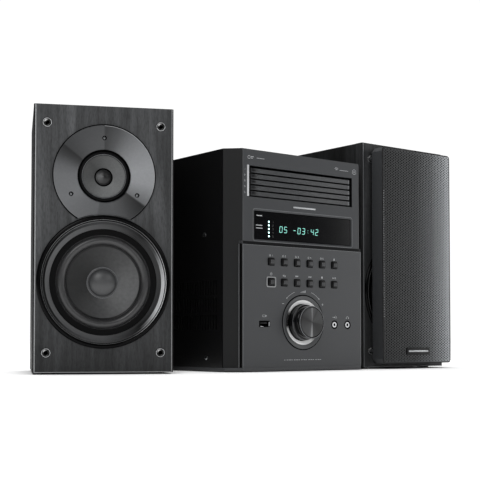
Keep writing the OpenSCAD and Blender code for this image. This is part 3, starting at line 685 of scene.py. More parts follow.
def finish_nodes():
    """CAD nodes whose own shape shows, with their finishes and softened edges."""
    finishes = {
        "base_plinth": "plinth", "unit_feet": "rubber", "case_cover": "case", "front_fascia": "fascia",
        "control_panel": "panel", "rear_panel": "case", "display_window": "window",
        "display_module": "window", "front_board": "board", "changer_frame": "black",
        "disc_drive": "black", "main_board": "board", "power_transformer": "core",
        "ac_inlet": "black", "rear_sockets": "ivory", "grille_frame": "grille_frame",
        # The right baffle takes a darker copy of the veneer as painted shade.
        "left_baffle": "veneer", "right_baffle": "veneer_in_painted_shade",
    }
    for number in range(1, 6):
        finishes["disc_tray_%d" % number] = "black"
    for side in SIDES:
        # The cabinets take a darker copy of the veneer as painted shade.
        for node, surface in (("cabinet", "veneer_side_in_painted_shade"), ("woofer_basket", "basket"),
                              ("grille_sockets", "dark_chrome"), ("terminal_cup", "black"),
                              ("feet", "rubber")):
            finishes["%s_%s" % (side, node)] = surface
    for node, surface in finishes.items():
        materials = frame["nodes"][node].data.materials
        materials.clear()
        materials.append(SURFACES[surface].material)
    for node, width in (("front_fascia", 0.5), ("base_plinth", 0.4),
                        ("grille_frame", 0.6), ("left_cabinet", 0.7), ("right_cabinet", 0.7)):
        ease_edges(node, width)


def make_knob():
    def turned(name, outline, ease, surface, **more):
        add_turned("volume_knob_" + name, rounded(outline, ease), 160, surface, "knob_aluminium",
                   "volume_knob", at(KNOB.x, PANEL_Y, KNOB.z), **more)

    low, high = box("volume_knob")
    proud = PANEL_Y - low.y
    base_r = (high.x - low.x) / 2
    r = base_r - 1.8
    shaft_r = 3.05
    turned("body", [
        (shaft_r, -3.5), (6, -3.5), (6, proud - 7), (r - 3, proud - 7), (r - 3, -4), (base_r, -4),
        (base_r, 5.4), (r + 1.0, 6), (r, 6.4), (r, proud - 4.6), (r - 0.5, proud - 4.2),
        (r - 0.5, proud - 3.8), (r, proud - 3.4), (r, proud - 0.5), (r - 2, proud - 0.5),
        (r - 2, proud - 1.6), (0, proud - 1.6), (0, proud - 5.6), (shaft_r, proud - 5.6)], 0.25,
        "knob_side", replaces="volume_knob")
    turned("face", [(0, proud - 1.6), (r - 2.2, proud - 1.6), (r - 2.2, proud - 0.25), (r - 2.8, proud),
                    (0, proud - 0.1)], 0.2, "knob_face")
    # The two rings are lines of painted highlight on the knob's edges.
    for name, radius, height in (("front", r - 0.3, proud - 0.5), ("base", base_r - 0.3, 5.5)):
        turned(name + "_ring", [(radius - 0.5, height - 0.3), (radius + 0.35, height - 0.3),
                                (radius + 0.2, height + 0.15), (radius - 0.5, height + 0.15)], 0.12, "edge")


def make_bezel():
    """A groove painted with shade, a grey ring, and a dish that slopes down to the knob, its crescents
    painted reflections.
    """
    def turned(name, outline, surface, **more):
        add_turned("volume_bezel_" + name, outline, 160, surface, "bezel_grey", UNIT,
                   at(KNOB.x, PANEL_Y, KNOB.z), **more)

    low, high = box("volume_bezel")
    r = (high.x - low.x) / 2
    dish_r, dish_steps = 28.2, 8
    # Groove painted black as shade.
    turned("groove", rounded([(r, 0), (r, 0.3), (r - 1.3, 0.3), (r - 1.3, 0)], 0.1), "painted_shade_black")
    turned("ring", rounded([(r - 1.3, -1), (r - 1.3, 0.7), (r - 1.9, 1.0), (28.6, 0.3), (dish_r, -0.3),
                            (dish_r, -2.5), (r - 2.4, -2.5), (r - 2.4, -1)], 0.2), "bezel",
           replaces="volume_bezel")
    slope = [(28.0 - 4.6 * t, 0.3 - 2.2 * t ** 1.3) for t in (k / dish_steps for k in range(dish_steps + 1))]
    turned("dish", [(dish_r, 0.35)] + slope + [(23.4, -6.5), (dish_r, -6.5)], "dish")


def make_buttons():
    """Each cap is a dark body with three lighter ribs, in a black surround on the panel, painted shade of the
    recess round it.
    """
    w, h = 8.6, 7.6
    rib_pitch, rib_w = 1.9, 1.0
    nodes = [node for row in BUTTON_ROWS for node in row]
    for node in nodes:
        front, back = (corner.y for corner in box(node))
        centre = middle(node)
        place = shift(centre.x, 0, centre.z)
        cap = [((-w / 2, front + 0.3, -h / 2), (w / 2, front + 6.6, h / 2)),
               ((-5.9, front + 6.3, -5.4), (5.9, front + 7.3, 5.4)),
               ((-1.6, front + 7.1, -1.6), (1.6, back, 1.6))]
        ribs = [((x, front, -h / 2 + 1.5), (x + rib_w, front + 0.5, h / 2 - 1.6))
                for x in (-w / 2 + 2.6 + rib_pitch * k for k in range(3))]
        add_boxes(node + "_cap", cap, 0.22, "shade", "button_grey", node, place=place, replaces=node)
        add_boxes(node + "_face", ribs, 0.1, "button", "button_grey", node, place=place)
    # Black surrounds standing in for the recesses' painted shade.
    for node in nodes:
        x, z = middle(node).x, middle(node).z
        name = node + "_surround"
        add_piece(name, frame_mesh(name, soft_rect(10.6, 9.8, 1.0, x, z), soft_rect(9.0, 8.0, 0.6, x, z),
                                   PANEL_Y - 0.08, PANEL_Y - 0.04, PANEL_Y + 0.6), "painted_shade_black", "panel_grey")


def make_trays():
    """Front bars: a smoked tab at the left, three long ribs, and a lighter end at the right."""
    for number in range(1, 6):
        node = "disc_tray_%d" % number
        low, high = box(node)
        bottom, top, y = high.z - 5.35, high.z - 0.2, low.y
        tab_x, end_x = low.x + 10.5, high.x - 3.2
        ribs = [((tab_x, y - 0.5, z), (end_x, y - 0.1, z + 1.35))
                for z in (bottom + 0.2 + 1.7 * k for k in range(3))]
        parts = {
            "tab": ("tray_tab", [((low.x + 0.8, y - 0.3, bottom + 0.1), (tab_x, y + 0.2, top - 0.1))]),
            "patch": ("shade", [((low.x + 2.6, y - 0.45, bottom + 1.3), (tab_x - 1.2, y - 0.2, top - 1.2))]),
            "bar": ("tray", [((tab_x, y - 0.25, bottom + 0.1), (end_x, y + 0.2, top - 0.1))] + ribs),
            "end": ("tray_end", [((end_x, y - 0.5, bottom + 0.3), (high.x - 0.6, y + 0.2, bottom + 2.5)),
                                 ((end_x, y - 0.5, top - 2.5), (high.x - 0.6, y + 0.2, top - 0.3))]),
        }
        for name, (surface, boxes) in parts.items():
            add_boxes("%s_%s" % (node, name), boxes, 0.12, surface, "tray_grey", node)


def make_window():
    """Painted highlight line, bevelled frame and groove of painted shade round the window, and the display's
    lit figures.
    """
    low, high = box("display_window")
    centre, w, h = middle("display_window"), high.x - low.x, high.z - low.z
    corner_r = 3.2
    # The line is a painted highlight and the groove painted shade.
    # Each ring's name, how far its outlines stand outside the window, its surface, and its front's depths
    for name, grow_out, grow_in, surface, y_out, y_in in (
            ("window_line", 0.9, -0.3, "edge", -0.12, -0.12),
            ("window_frame", -0.3, -4.2, "fascia", -0.08, 0.72),
            ("window_groove", -4.2, -5.8, "painted_shade_black", 0.72, 0.76)):
        outer, inner = (soft_rect(w + grow, h + grow, max(corner_r + grow / 2, 0.8), centre.x, centre.z)
                        for grow in (grow_out, grow_in))
        ring = frame_mesh(name, outer, inner, FASCIA_Y + y_out, FASCIA_Y + y_in, FASCIA_Y + 0.9)
        add_piece(name, ring, surface, "fascia_grey", smooth_angle=20)
    lit, segments, unlit, legends = Marks(), Marks(), Marks(), Marks()
    dots_x, numbers_x, top_z, pitch = -55.9, -49.3, 185.7, 4.5
    for k in range(5):
        lit.dot(dots_x, top_z - pitch * k, 1.15)
        unlit.number(str(k + 1), numbers_x, top_z - pitch * k, 2.2, 0.4)
    segments.number("05 -03:42", -6.2, 177.2, 7.2, 0.62, 0.1, 7.5)
    legends.level(-75.5, -66.8, 192.4, 1.1)
    for z in (180.4, 176.9):
        legends.level(-76.3, -66.2, z, 1.0)
    lit.add("display_dots", low.y, "lit", "display_glass")
    segments.add("display_figures", low.y, "segment", "display_glass")
    unlit.add("display_numbers", low.y, "unlit", "display_glass")
    legends.add("display_legends", low.y, "ink", "display_glass")


def button_marks(marks):
    """Disc symbols with numbers over the upper row, and simple signs over the lower row."""
    columns = [middle(node).x for node in BUTTON_ROWS[0]]
    top = middle(BUTTON_ROWS[0][0]).z + 7.6
    low = middle(BUTTON_ROWS[1][0]).z + 8.4
    for number, x in enumerate(columns[:5], 1):
        marks.arc(x - 1.9, top, 1.1, 0.35, steps=16)
        marks.dot(x - 1.9, top, 0.3, 8)
        marks.number(str(number), x + 1.7, top, 2.1, 0.4)
    eject = columns[5]
    marks.triangle(eject, top + 0.2, 1.5, 90)
    marks.level(eject - 1.4, eject + 1.4, top - 1.3, 0.5)
    standby, source, back, ahead, stop, play = columns
    marks.arc(standby, low + 1.6, 1.5, 0.4, 120, 420, 20)
    marks.upright(standby, low + 1.6, low + 3.4, 0.45)
    marks.triangle(source - 1.6, low + 0.5, 0.9, 180)
    marks.level(source - 1.4, source + 2.2, low + 0.5, 0.35)
    marks.triangle(source + 1.6, low - 0.9, 0.9, 0)
    marks.level(source - 2.2, source + 1.4, low - 0.9, 0.35)
    for x, turn, way in ((back, 180, -1), (ahead, 0, 1)):
        marks.triangle(x - 1.1, low, 1.2, turn)
        marks.triangle(x + 1.0, low, 1.2, turn)
        marks.upright(x + way * 2.5, low - 1.1, low + 1.1, 0.45)
    marks.level(stop - 1.2, stop + 1.2, low, 2.4)
    marks.triangle(play - 1.8, low, 1.4, 0)
    for x in (play + 1.2, play + 2.5):
        marks.upright(x, low - 1.2, low + 1.2, 0.6)


def volume_marks(marks):
    """Rising bars, two curved arrows, minus and plus round the knob."""
    for k in range(6):
        marks.upright(KNOB.x - 3.7 + 1.5 * k, KNOB.z + 37.6, KNOB.z + 38.4 + 0.4 * k, 0.7)
    arrow_r = 40.5
    for start, tip, turn in ((110, 132, 222), (70, 48, -42)):
        marks.arc(KNOB.x, KNOB.z, arrow_r, 0.35, start, tip, 12)
        marks.triangle(*arc_points(KNOB.x, KNOB.z, arrow_r, arrow_r, [tip])[0], 1.1, turn)
    sign_x, sign_z, reach = 33.1, KNOB.z + 23.1, 1.5
    for x in (KNOB.x - sign_x, KNOB.x + sign_x):
        marks.level(x - reach, x + reach, sign_z, 0.5)
    marks.upright(KNOB.x + sign_x, sign_z - reach, sign_z + reach, 0.5)


def socket_marks(marks):
    """A memory stick, an arrow into a socket, headphones, and a row of small bars at the foot."""
    stick = USB_X - 3.2
    for z in (67.6, 69.8):
        marks.level(stick, USB_X + 1.4, z, 0.35)
    marks.upright(stick, 67.6, 69.8, 0.35)
    marks.upright(USB_X + 1.4, 67.4, 70.0, 0.35)
    marks.level(USB_X + 1.4, USB_X + 3.2, 68.7, 1.2)
    audio_in, headphone = JACK_XS.values()
    marks.level(audio_in - 3.4, audio_in + 0.2, 68.4, 0.4)
    marks.triangle(audio_in + 0.6, 68.4, 1.2, 0)
    marks.arc(audio_in + 1.4, 68.4, 2.0, 0.35, -80, 80, 10)
    marks.arc(headphone, 67.8, 2.0, 0.4, 0, 180, 14)
    for x in (headphone - 2.0, headphone + 2.0):
        marks.upright(x, 66.8, 68.1, 1.0)
    for k in range(16):
        x = -33.8 + 4.0 * k
        marks.level(x, x + (2.0, 2.8, 3.2)[k % 3], 14.2, 0.6)


def make_panel_marks():
    marks = Marks()
    button_marks(marks)
    volume_marks(marks)
    socket_marks(marks)
    marks.add("panel_marks", PANEL_Y, "ink", "panel_grey")


def make_panel_strips():
    """Painted shade on the control panel's sloping top, thin lines of painted highlight along its folds,
    painted shade in the grooves at its sides, and painted highlight lines on the fascia's folds.
    """
    low, high = box("control_panel")
    fold = high.x - 3.9
    top, foot = high.z, high.z - 4
    lift = Vector((0, -4, FASCIA_Y - PANEL_Y)).normalized() * 0.12
    slope = [(-fold, PANEL_Y, foot), (fold, PANEL_Y, foot), (fold - 1.2, FASCIA_Y, top),
             (1.2 - fold, FASCIA_Y, top)]
    # Dark sheet of painted shade over the panel's sloping top.
    add_piece("panel_slope", slabs_mesh("panel_slope", [(slope, lift)]), "shade", "panel_grey")
    # Lines of painted highlight along the panel's folds.
    lines = [((-fold, PANEL_Y - 0.1, foot - 0.5), (fold, PANEL_Y + 0.3, foot))]
    for sign in (-1, 1):
        for x, y in ((sign * (fold + 0.1), PANEL_Y), (sign * (high.x - 0.2), PANEL_Y + 3.4)):
            lines.append(((x - 0.35, y - 0.1, low.z + 0.2), (x + 0.35, y + 0.4, foot)))
    add_boxes("panel_edge_lines", lines, 0.1, "edge", "panel_grey")
    fascia_x, fascia_top = middle("front_fascia").x, box("front_fascia")[1].z
    # Painted shade in the grooves at the panel's sides.
    for side, sign in zip(SIDES, (-1, 1)):
        near, far = (sign * (fold + 0.9), PANEL_Y + 0.9), (sign * (fold + 2.9), PANEL_Y + 2.9)
        groove = [(*near, low.z + 0.2), (*far, low.z + 0.2), (*far, high.z - 3), (*near, foot)]
        name = "panel_groove_" + side
        add_piece(name, slabs_mesh(name, [(groove, (sign * 0.07, -0.07, 0))]), "painted_shade_black", "panel_grey")
    # Painted highlight lines on the fascia's folds.
    for side, sign in zip(SIDES, (-1, 1)):
        x = fascia_x + sign * (fold - 1.3)
        seam = [((x - 0.4, FASCIA_Y - 0.06, top + 1), (x + 0.4, FASCIA_Y + 0.3, fascia_top - 1))]
        add_boxes("fascia_fold_" + side, seam, 0.1, "bezel", "fascia_grey")


def make_fascia_details():
    """Tray numbers and generic signs above the trays, the indicator bar, plain plate and standby ring."""
    top = box("disc_tray_1")[1].z
    pitch = top - box("disc_tray_2")[1].z
    marks = Marks()
    for k in range(5):
        marks.number(str(k + 1), -94.7, top - 2.6 - pitch * k, 2.0, 0.35)
    marks.arc(-88, 263, 1.9, 0.45, steps=20)
    marks.level(-85.2, -80.5, 263.9, 0.8)
    marks.level(-85.2, -82, 262.1, 0.8)
    marks.level(-76, -63.5, 263, 0.5)
    for k in range(3):
        marks.arc(58, 260.4, 1.5 + 1.2 * k, 0.4, 35, 145, 10)
    marks.level(63.5, 79, 261.5, 0.5)
    marks.arc(90, 261.5, 3.2, 0.45, steps=24)
    marks.arc(90, 261.5, 1.0, 0.4, steps=12)
    marks.add("fascia_marks", FASCIA_Y, "ink", "fascia_grey")
    add_boxes("indicator_bar", [((-91.1, FASCIA_Y - 0.35, 215), (-88.2, FASCIA_Y + 0.4, 253.4))], 0.25,
              "pale", "fascia_grey")
    add_boxes("name_plate", [((-16.5, FASCIA_Y - 0.5, 205.6), (20.8, FASCIA_Y + 0.3, 207.6))], 0.25,
              "silver", "fascia_grey")
    button = middle("power_button")
    ring = frame_mesh("standby_ring", soft_rect(15.2, 13.2, 2.4, button.x, button.z),
                      soft_rect(12.6, 10.6, 1.4, button.x, button.z), PANEL_Y - 0.5, PANEL_Y - 0.5, PANEL_Y)
    add_piece("standby_ring", ring, "standby", "panel_grey")


def make_front_sockets():
    """USB shell painted black as the shade inside the slot, with a painted highlight on its rim, its tongue,
    and two jacks with bright noses in cups painted black as shade.
    """
    slot, x, z, back = "socket_chrome", USB_X, SOCKET_Z, box("front_sockets")[1].y
    # The shell's inside is painted black as shade.
    shell = frame_mesh("usb_shell", soft_rect(16.8, 7.6, 0.6, x, z), soft_rect(13.2, 5.2, 0.3, x, z),
                       PANEL_Y - 0.1, PANEL_Y + 0.5, back - 0.5)
    add_piece("usb_shell", shell, "painted_shade_black", slot, replaces="front_sockets")
    # Painted highlight along the USB rim.
    add_boxes("usb_rim", [((x + 6.7, PANEL_Y - 0.25, z - 2.6), (x + 7.6, PANEL_Y + 0.2, z + 2.6)),
                          ((x - 6.6, PANEL_Y - 0.25, z - 3.5), (x - 2.0, PANEL_Y + 0.2, z - 2.9))],
              0.15, "pale", slot)
    add_boxes("usb_tongue", [((x - 5.6, PANEL_Y + 1.5, z + 0.3), (x + 5.6, back - 1, z + 2.1)),
                             ((x - 6.5, back - 1.6, z - 2.5), (x + 6.5, back - 1, z + 2.5))],
              0.15, "shade", slot)
    nose = rounded([(1.9, -3), (1.9, -0.2), (2.2, 0.15), (3.3, 0.15), (3.6, -0.2), (3.6, -3)], 0.2)
    cup = rounded([(3.6, -0.4), (5.3, -0.1), (5.4, 0.15), (5.6, 0.15), (5.6, -0.3), (5.3, -14),
                   (1.6, -14), (1.6, -0.3), (1.9, -0.3), (1.9, -3), (3.6, -3)], 0.12)
    # Cups painted black as the shade inside the jacks.
    for name, x in JACK_XS.items():
        add_turned(name + "_nose", nose, 64, "bright", slot, UNIT, at(x, PANEL_Y, z))
        add_turned(name + "_cup", cup, 64, "painted_shade_black", slot, UNIT, at(x, PANEL_Y, z))


def make_case_screws():
    """Domed cross-slot screws in the case's sides and rear panel."""
    build = bmesh.new()
    head_r, head_h = 2.9, 1.5
    side_screws = ((-95, 170), (-99, 17.3), (112, 170), (112, 17.3))
    rear_screws = ((106, 140), (106, 60), (60, 262))
    low, high = box("case_cover")
    for sign, x in ((-1, low.x), (1, high.x)):
        for y, z in side_screws:
            place = shift(x, y, z) @ Matrix.Rotation(sign * math.pi / 2, 4, "Y")
            screw_head_into(build, place, head_r, head_h)
    rear = box("rear_panel")[1].y
    for x, z in rear_screws:
        for sign in (-1, 1):
            place = shift(sign * x, rear, z) @ Matrix.Rotation(-math.pi / 2, 4, "X")
            screw_head_into(build, place, head_r, head_h)
    add_piece("case_screw_heads", mesh_from(build, "case_screw_heads"), "steel", "screw_black",
              replaces="case_screws")


# ------------------------------------------------------------------ speakers

def make_surround(side, here):
    """Rubber surround in sectors round the woofer's axis."""
    roll_r, roll_z, count = 48.5, -10.3, 12
    outline = [(61.2, -10.6), (61.2, -9.6), (54.6, -9.6), (53.9, -9.8)]
    outline += arc_points(roll_r, roll_z, 4.9, 4.9, range(0, 181, 9))
    outline += arc_points(roll_r, roll_z - 0.3, 3.9, 3.9, range(180, -1, -9)) + [(53.9, -10.6)]
    half = math.pi / count
    for k in range(count):
        angle = 2 * half * k
        mesh = turned_mesh("surround", outline, 14, angle - half, 2 * half)
        piece = add_object("%s_surround_%02d" % (side, k + 1), mesh, "surround", here, 60)
        if k == 0:
            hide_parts(side + "_woofer_surround")
        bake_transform(piece)


def make_woofer(side, place):
    fixed, moving = side + "_speaker", side + "_woofer_cone"
    here = place @ at(0, 0, WOOFER_Z)

    def turned(name, outline, segments, surface, slot, body=fixed, **more):
        add_turned("%s_%s" % (side, name), outline, segments, surface, slot, body, here, **more)

    turned("woofer_trim", rounded([
        (76.5, 0), (76.5, 1.3), (75.4, 2.5), (73.6, 2.95), (72.7, 2.6), (72.5, 1.9), (72.1, 1.9),
        (71.9, 2.3), (71.3, 2.2), (70.8, 1.2), (70.2, 0), (70.2, -7), (72, -7), (72, 0)], 0.4),
        192, "ring", "ring_gloss", replaces=side + "_woofer_ring")
    turned("woofer_funnel", rounded([(70.1, -0.3), (69.2, -2.0), (68.2, -3.5), (66.7, -5.3), (66.2, -7),
                                     (70.1, -7)], 0.4), 192, "funnel", "ring_gloss")
    turned("woofer_throat", rounded([(66.7, -5.4), (65, -6.9), (63.4, -8.1), (61.6, -9), (61.6, -10.4),
                                     (66.5, -10.4)], 0.2), 192, "throat", "ring_gloss")
    # Lines of painted highlight round the trim, bright on the right.
    for name, r, z in (("outer", 76.0, 1.35), ("inner", 71.2, 2.2), ("step", 69.4, -1.4)):
        line = [(r - 0.3, z - 0.3), (r + 0.3, z - 0.3), (r + 0.2, z + 0.1), (r - 0.2, z + 0.1)]
        turned("woofer_line_" + name, rounded(line, 0.1), 192, "bead", "ring_gloss")
    turned("woofer_flange", [(61.4, -10.5), (61.4, -9.1), (54.4, -9.1), (54.4, -9.5), (54.6, -9.6),
                             (61.2, -9.6), (61.2, -10.5)], 160, "flange", "surround_rubber")
    make_surround(side, here)
    neck = [(0, -22.8), (16.4, -22.6)]
    flare = [(17.2 + 26 * t, -22.4 + 12.4 * t ** 1.12) for t in (k / 16 for k in range(17))]
    back = [(43.2, -10.9), (30, -17.8), (12.6, -24.9), (12.6, -43), (12, -43), (12, -24.4), (0, -24.4)]
    turned("woofer_cone_body", neck + flare + back, 192, "cone", "cone_black", moving,
           replaces=side + "_woofer_cone")
    lip = [(41.6, -10.4), (43.3, -10.3), (44.6, -9.9), (44.6, -9.4), (43.0, -9.3), (41.4, -10.0)]
    # Dark lip of painted shade where the roll meets the cone.
    turned("woofer_cone_lip", rounded(lip, 0.2), 160, "shade", "cone_black", moving)
    cap = arc_points(0, -21.6, 16.3, 7.6, range(90, -1, -6)) + [(17.6, -21.9), (17.6, -22.3), (0, -22.3)]
    turned("dust_cap", cap, 128, "cap", "cone_black", moving, smooth_angle=50)
    seat = [(17.6, -22.4), (17.6, -21.7), (17.9, -21.3), (18.4, -21.5), (18.4, -22.4)]
    # Light ring of painted highlight round the dust cap.
    turned("dust_cap_ring", rounded(seat, 0.2), 128, "edge", "cone_black", moving)


def make_tweeter_plate(side, here, screws):
    """The funnel-shaped plate, cut by the woofer's ring below it and by three screw holes."""
    outline = rounded([
        (58, 0), (58, 1.9), (57.4, 2.5), (31.6, -1.8), (30.4, -3.0), (30.4, -20), (0, -20), (0, -34),
        (26, -34), (26, -22), (33.4, -22), (33.4, -4), (47, -4), (47, 0)], 0.35)
    piece = add_object(side + "_tweeter_plate", turned_mesh("tweeter_plate", outline, 192),
                       "tweeter_plate", here, 30)
    build = bmesh.new()
    hole_r = 2.6
    cuts = [(0, WOOFER_Z - TWEETER_Z, 3, NOTCH_R, 6, 192)] + [(x, y, 2, hole_r, 8, 32) for x, y in screws]
    for x, y, z, r, depth, segments in cuts:
        bmesh.ops.create_cone(build, cap_ends=True, segments=segments, radius1=r * MM, radius2=r * MM,
                              depth=depth * MM, matrix=shift(x, y, z))
    cutter = bpy.data.objects.new("cutter", mesh_from(build, "cutter"))
    cutter.matrix_world = here
    bpy.context.scene.collection.objects.link(cutter)
    cut = piece.modifiers.new("cut", "BOOLEAN")
    cut.operation = "DIFFERENCE"
    cut.solver = "EXACT"
    cut.object = cutter
    bpy.context.view_layer.update()
    shaped = bpy.data.meshes.new_from_object(piece.evaluated_get(bpy.context.evaluated_depsgraph_get()))
    piece.modifiers.clear()
    piece.data = shaped
    shaped.set_sharp_from_angle(angle=math.radians(30))
    bpy.data.objects.remove(cutter)
    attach(piece, side + "_speaker")
    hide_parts(side + "_tweeter_frame")


def make_tweeter(side, place):
    fixed, moving = side + "_speaker", side + "_tweeter_cone"
    here = place @ at(0, 0, TWEETER_Z)

    def solid(name, mesh, surface, slot, body=fixed, **more):
        add_piece("%s_tweeter_%s" % (side, name), mesh, surface, slot, body, here, **more)

    def turned(name, outline, segments, surface, slot, body=fixed, **more):
        solid(name, turned_mesh(name, outline, segments), surface, slot, body, **more)

    screws = arc_points(0, 0, 43.6, 43.6, (90, 210, 330))
    make_tweeter_plate(side, here, screws)
    drop, outline_r = TWEETER_Z - WOOFER_Z, 59
    notch = math.acos((drop ** 2 + outline_r ** 2 - NOTCH_R ** 2) / (2 * drop * outline_r))
    # Dark outline of painted shadow round the plate.
    solid("outline", turned_mesh("outline", [(57.9, 0), (outline_r, 0), (outline_r, 1.6), (57.9, 1.9)], 160,
                                 notch - math.pi / 2, 2 * math.pi - 2 * notch), "painted_shade_black", "tweeter_plate")
    # Short arc of painted highlight on the plate's upper right rim.
    rim = rounded([(56.9, 2.2), (57.6, 2.1), (57.5, 2.6), (57.1, 2.65)], 0.1)
    solid("rim", turned_mesh("rim", rim, 64, math.radians(-15), math.radians(105)), "painted_edge_highlight",
          "tweeter_plate")
    # Wells of painted shade round the screw heads.
    heads, wells = bmesh.new(), bmesh.new()
    for x, y in screws:
        screw_head_into(heads, shift(x, y, -1.8), 1.5, 1.0)
        loops_into(wells, [[wells.verts.new(Vector((*p, z)) * MM)
                            for p in arc_points(x, y, r, r, range(0, 360, 15))]
                           for r, z in ((2.56, 0.0), (2.2, -0.2), (1.7, -1.7), (2.56, -1.9))])
    solid("screws", mesh_from(heads, "screws"), "steel", "socket_chrome")
    solid("wells", mesh_from(wells, "wells"), "painted_shade_black", "tweeter_plate")
    # Throat painted black as shade.
    turned("throat", rounded([(30.38, -2.7), (30.38, -19), (29.9, -19), (29.9, -3.2)], 0.1), 128, "painted_shade_black",
           "tweeter_plate")
    turned("edge", arc_points(27, -6.2, 2.5, 1.9, range(0, 181, 15)) + [(24.4, -6.9), (29.5, -6.9)], 128,
           "flange", "surround_rubber", moving)
    # Thin ring of painted glint on the tweeter's edge.
    turned("painted_edge_highlight", rounded([(25.0, -5.0), (25.5, -4.8), (25.4, -4.55), (24.9, -4.75)], 0.05), 128,
           "edge", "surround_rubber", moving)
    flare = [(9 + 15.3 * t, -13.8 + 7.7 * t ** 1.1) for t in (k / 12 for k in range(13))]
    turned("paper", flare + [(24.5, -6.8), (9, -15), (7, -18.6), (0, -18.6), (0, -14.4)], 128,
           "tweeter_paper", "tweeter_grey", moving, replaces=side + "_tweeter_cone")
    # Collar painted black as shade round the dome's foot.
    turned("collar", rounded([(9.0, -14.2), (9.0, -13.3), (9.6, -12.9), (10.6, -12.9), (10.9, -14.2)], 0.2),
           96, "painted_shade_black", "tweeter_grey", moving)
    turned("dome", arc_points(0, -13.6, 9.1, 5.6, range(90, -1, -6)) + [(9.1, -14.3), (0, -14.3)], 96,
           "dome", "tweeter_grey", moving, smooth_angle=50)


def make_baffle_details(side, place):
    """Liners with painted highlights and rims of painted highlight in the peg sockets, folds of painted shade
    and lines of painted highlight along the baffle, and the plug collars behind.
    """
    body = side + "_speaker"
    # The left speaker's rims and lines take lighter copies as painted highlight; the right's take dimmer ones
    # as painted shade.
    bright = side == "left"
    liner = rounded([(2.5, 0.75), (3.1, 1.02), (3.9, 1.08), (3.9, 0.6), (2.78, 0.5), (2.78, -10.9),
                     (2.5, -10.9)], 0.1)
    rim = rounded([(4.45, 0.9), (5.05, 0.9), (4.95, 1.2), (4.55, 1.2)], 0.1)
    for across, x in (("left", -PEG_X), ("right", PEG_X)):
        for level, z in PEG_ZS.items():
            here = place @ at(x, 0, z)
            corner = "%s_%s" % (level, across)
            add_turned("%s_liner_%s" % (side, corner), liner, 40, "liner", "socket_chrome", body, here)
            add_turned("%s_rim_%s" % (side, corner), rim, 48, "pale" if bright else "edge",
                       "socket_chrome", body, here)
    low, high = (corner.z for corner in box(side + "_baffle"))
    # Folds of painted shade on the baffle's chamfers.
    folds = []
    for sign in (-1, 1):
        side_edge, front_edge = (sign * 79.95, 1.55), (sign * 78.6, 0.2)
        folds.append(([(*side_edge, low + 0.2), (*front_edge, low + 0.2), (*front_edge, high - 0.2),
                       (*side_edge, high - 0.2)], (sign * 0.1, -0.1, 0)))
    add_piece(side + "_baffle_folds", slabs_mesh("baffle_folds", folds), "shade", "veneer_black", body, place)
    # Lines of painted highlight along the baffle's edges and foot.
    lines = [((-78.5, -0.15, low + 0.4), (-77.3, 0.1, high - 0.4)),
             ((77.8, -0.15, low + 0.4), (78.5, 0.1, high - 0.4)),
             ((-78.0, -0.15, low), (78.0, 0.1, low + 0.9))]
    add_boxes(side + "_baffle_lines", lines, 0, "painted_edge_highlight" if bright else "edge", "veneer_black", body,
              place=place)
    collar = rounded([(4.2, 0.6), (5.6, 0.6), (5.6, 9.6), (5.0, 10.4), (4.2, 10.4)], 0.3)
    plug_y, plug_z = 163, 150
    for name, x, surface in (("plus", -9.5, "red"), ("minus", 9.5, "black")):
        add_turned("%s_%s_collar" % (side, name), collar, 48, surface, "plastic_black", body,
                   place @ shift(x, plug_y, plug_z) @ Matrix.Rotation(math.pi, 4, "Z") @ FACING)


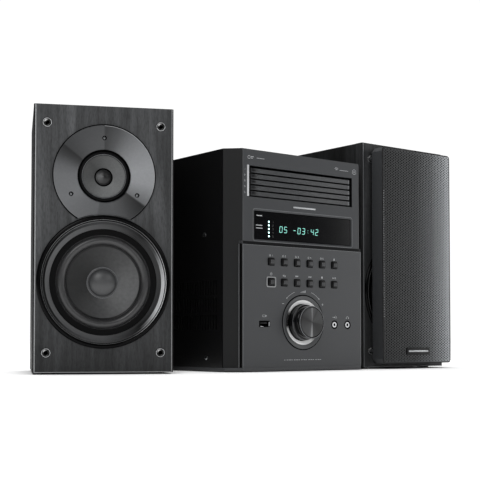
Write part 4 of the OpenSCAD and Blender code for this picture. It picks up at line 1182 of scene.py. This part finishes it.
def grille_sheet(low, high, rim_w):
    """Perforated sheet: upright columns of round holes, every other column half a step down."""
    hole_r, sides = 1.12, 8
    columns, rows = 42, 80
    step_x, step_z = (high.x - low.x - 2 * rim_w) / columns, (high.z - low.z - 2 * rim_w) / rows
    x0, z0 = low.x + rim_w, low.z + rim_w
    build = bmesh.new()
    shared = {}

    def vert(x, z, front):
        key = (round(x * 50), round(z * 50), front)
        if key not in shared:
            shared[key] = build.verts.new((x * MM, (low.y if front else high.y - 0.1) * MM, z * MM))
        return shared[key]

    def both_faces(points):
        for front in (True, False):
            corners = [vert(x, z, front) for x, z in points]
            build.faces.new(corners if front else corners[::-1])

    for i in range(columns):
        odd = i % 2
        left, right = x0 + i * step_x, x0 + (i + 1) * step_x
        mid_x = (left + right) / 2
        for j in range(rows - odd):
            bottom = z0 + (j + 0.5 * odd) * step_z
            top, mid_z = bottom + step_z, bottom + step_z / 2
            rim = [(right, mid_z), (right, top), (mid_x, top), (left, top), (left, mid_z), (left, bottom),
                   (mid_x, bottom), (right, bottom)]
            hole = arc_points(mid_x, mid_z, hole_r, hole_r, [45 * k for k in range(sides)])
            for k in range(sides):
                n = (k + 1) % sides
                both_faces((rim[k], rim[n], hole[n], hole[k]))
                build.faces.new((vert(*hole[k], True), vert(*hole[n], True), vert(*hole[n], False),
                                 vert(*hole[k], False)))
        if odd:
            for a, b in ((z0, z0 + step_z / 2), (z0 + (rows - 0.5) * step_z, z0 + rows * step_z)):
                both_faces([(left, a), (mid_x, a), (right, a), (right, b), (mid_x, b), (left, b)])
    return mesh_from(build, "grille_sheet")


def make_grille():
    """Perforated sheet in a plain rim with a painted sheen rising to the right, dots of painted highlight
    along its left edge, and a badge without lettering.
    """
    low, high = box("grille_mesh")
    centre, w, h = middle("grille_mesh"), high.x - low.x, high.z - low.z
    cx, rim_w, slot, body = centre.x, 1.5, "mesh_metal", "grille"
    # The sheet's surface carries a painted sheen.
    add_piece("grille_sheet", grille_sheet(low, high, rim_w), "mesh", slot, body, replaces="grille_mesh")
    outer = soft_rect(w, h, 5, cx, centre.z)
    inner = soft_rect(w - 2 * rim_w - 0.2, h - 2 * rim_w - 0.2, 3.4, cx, centre.z)
    add_piece("grille_rim", frame_mesh("grille_rim", outer, inner, low.y - 0.05, low.y - 0.1, high.y),
              "black", slot, body)
    # Dots of painted highlight along the sheet's left edge.
    dots = [((low.x + 1.7, low.y - 0.25, z), (low.x + 2.3, low.y + 0.1, z + 1.4))
            for z in (70 + 3.2 * k for k in range(54))]
    add_boxes("grille_edge_dots", dots, 0, "painted_edge_highlight", slot, body)
    badge = [((cx - 22.5, low.y - 1.3, 19), (cx + 22.5, low.y + 0.2, 28.6))]
    add_piece("grille_badge", boxes_mesh("grille_badge", badge, 0.5, 3), "black", slot, body)
    bar = [((cx - 19.5, low.y - 1.55, 22.7), (cx + 19.5, low.y - 1.0, 25.1))]
    add_boxes("grille_badge_bar", bar, 0.25, "silver", slot, body)


# ------------------------------------------------------------------ the scene

make_plain_surfaces()
make_turned_surfaces()
make_camera()
make_lights()
make_world()
make_floor()
finish_nodes()
make_knob()
make_bezel()
make_buttons()
make_trays()
make_window()
make_panel_marks()
make_panel_strips()
make_fascia_details()
make_front_sockets()
make_case_screws()
for side in SIDES:
    place = speaker_place(side)
    make_woofer(side, place)
    make_tweeter(side, place)
    make_baffle_details(side, place)
make_grille()
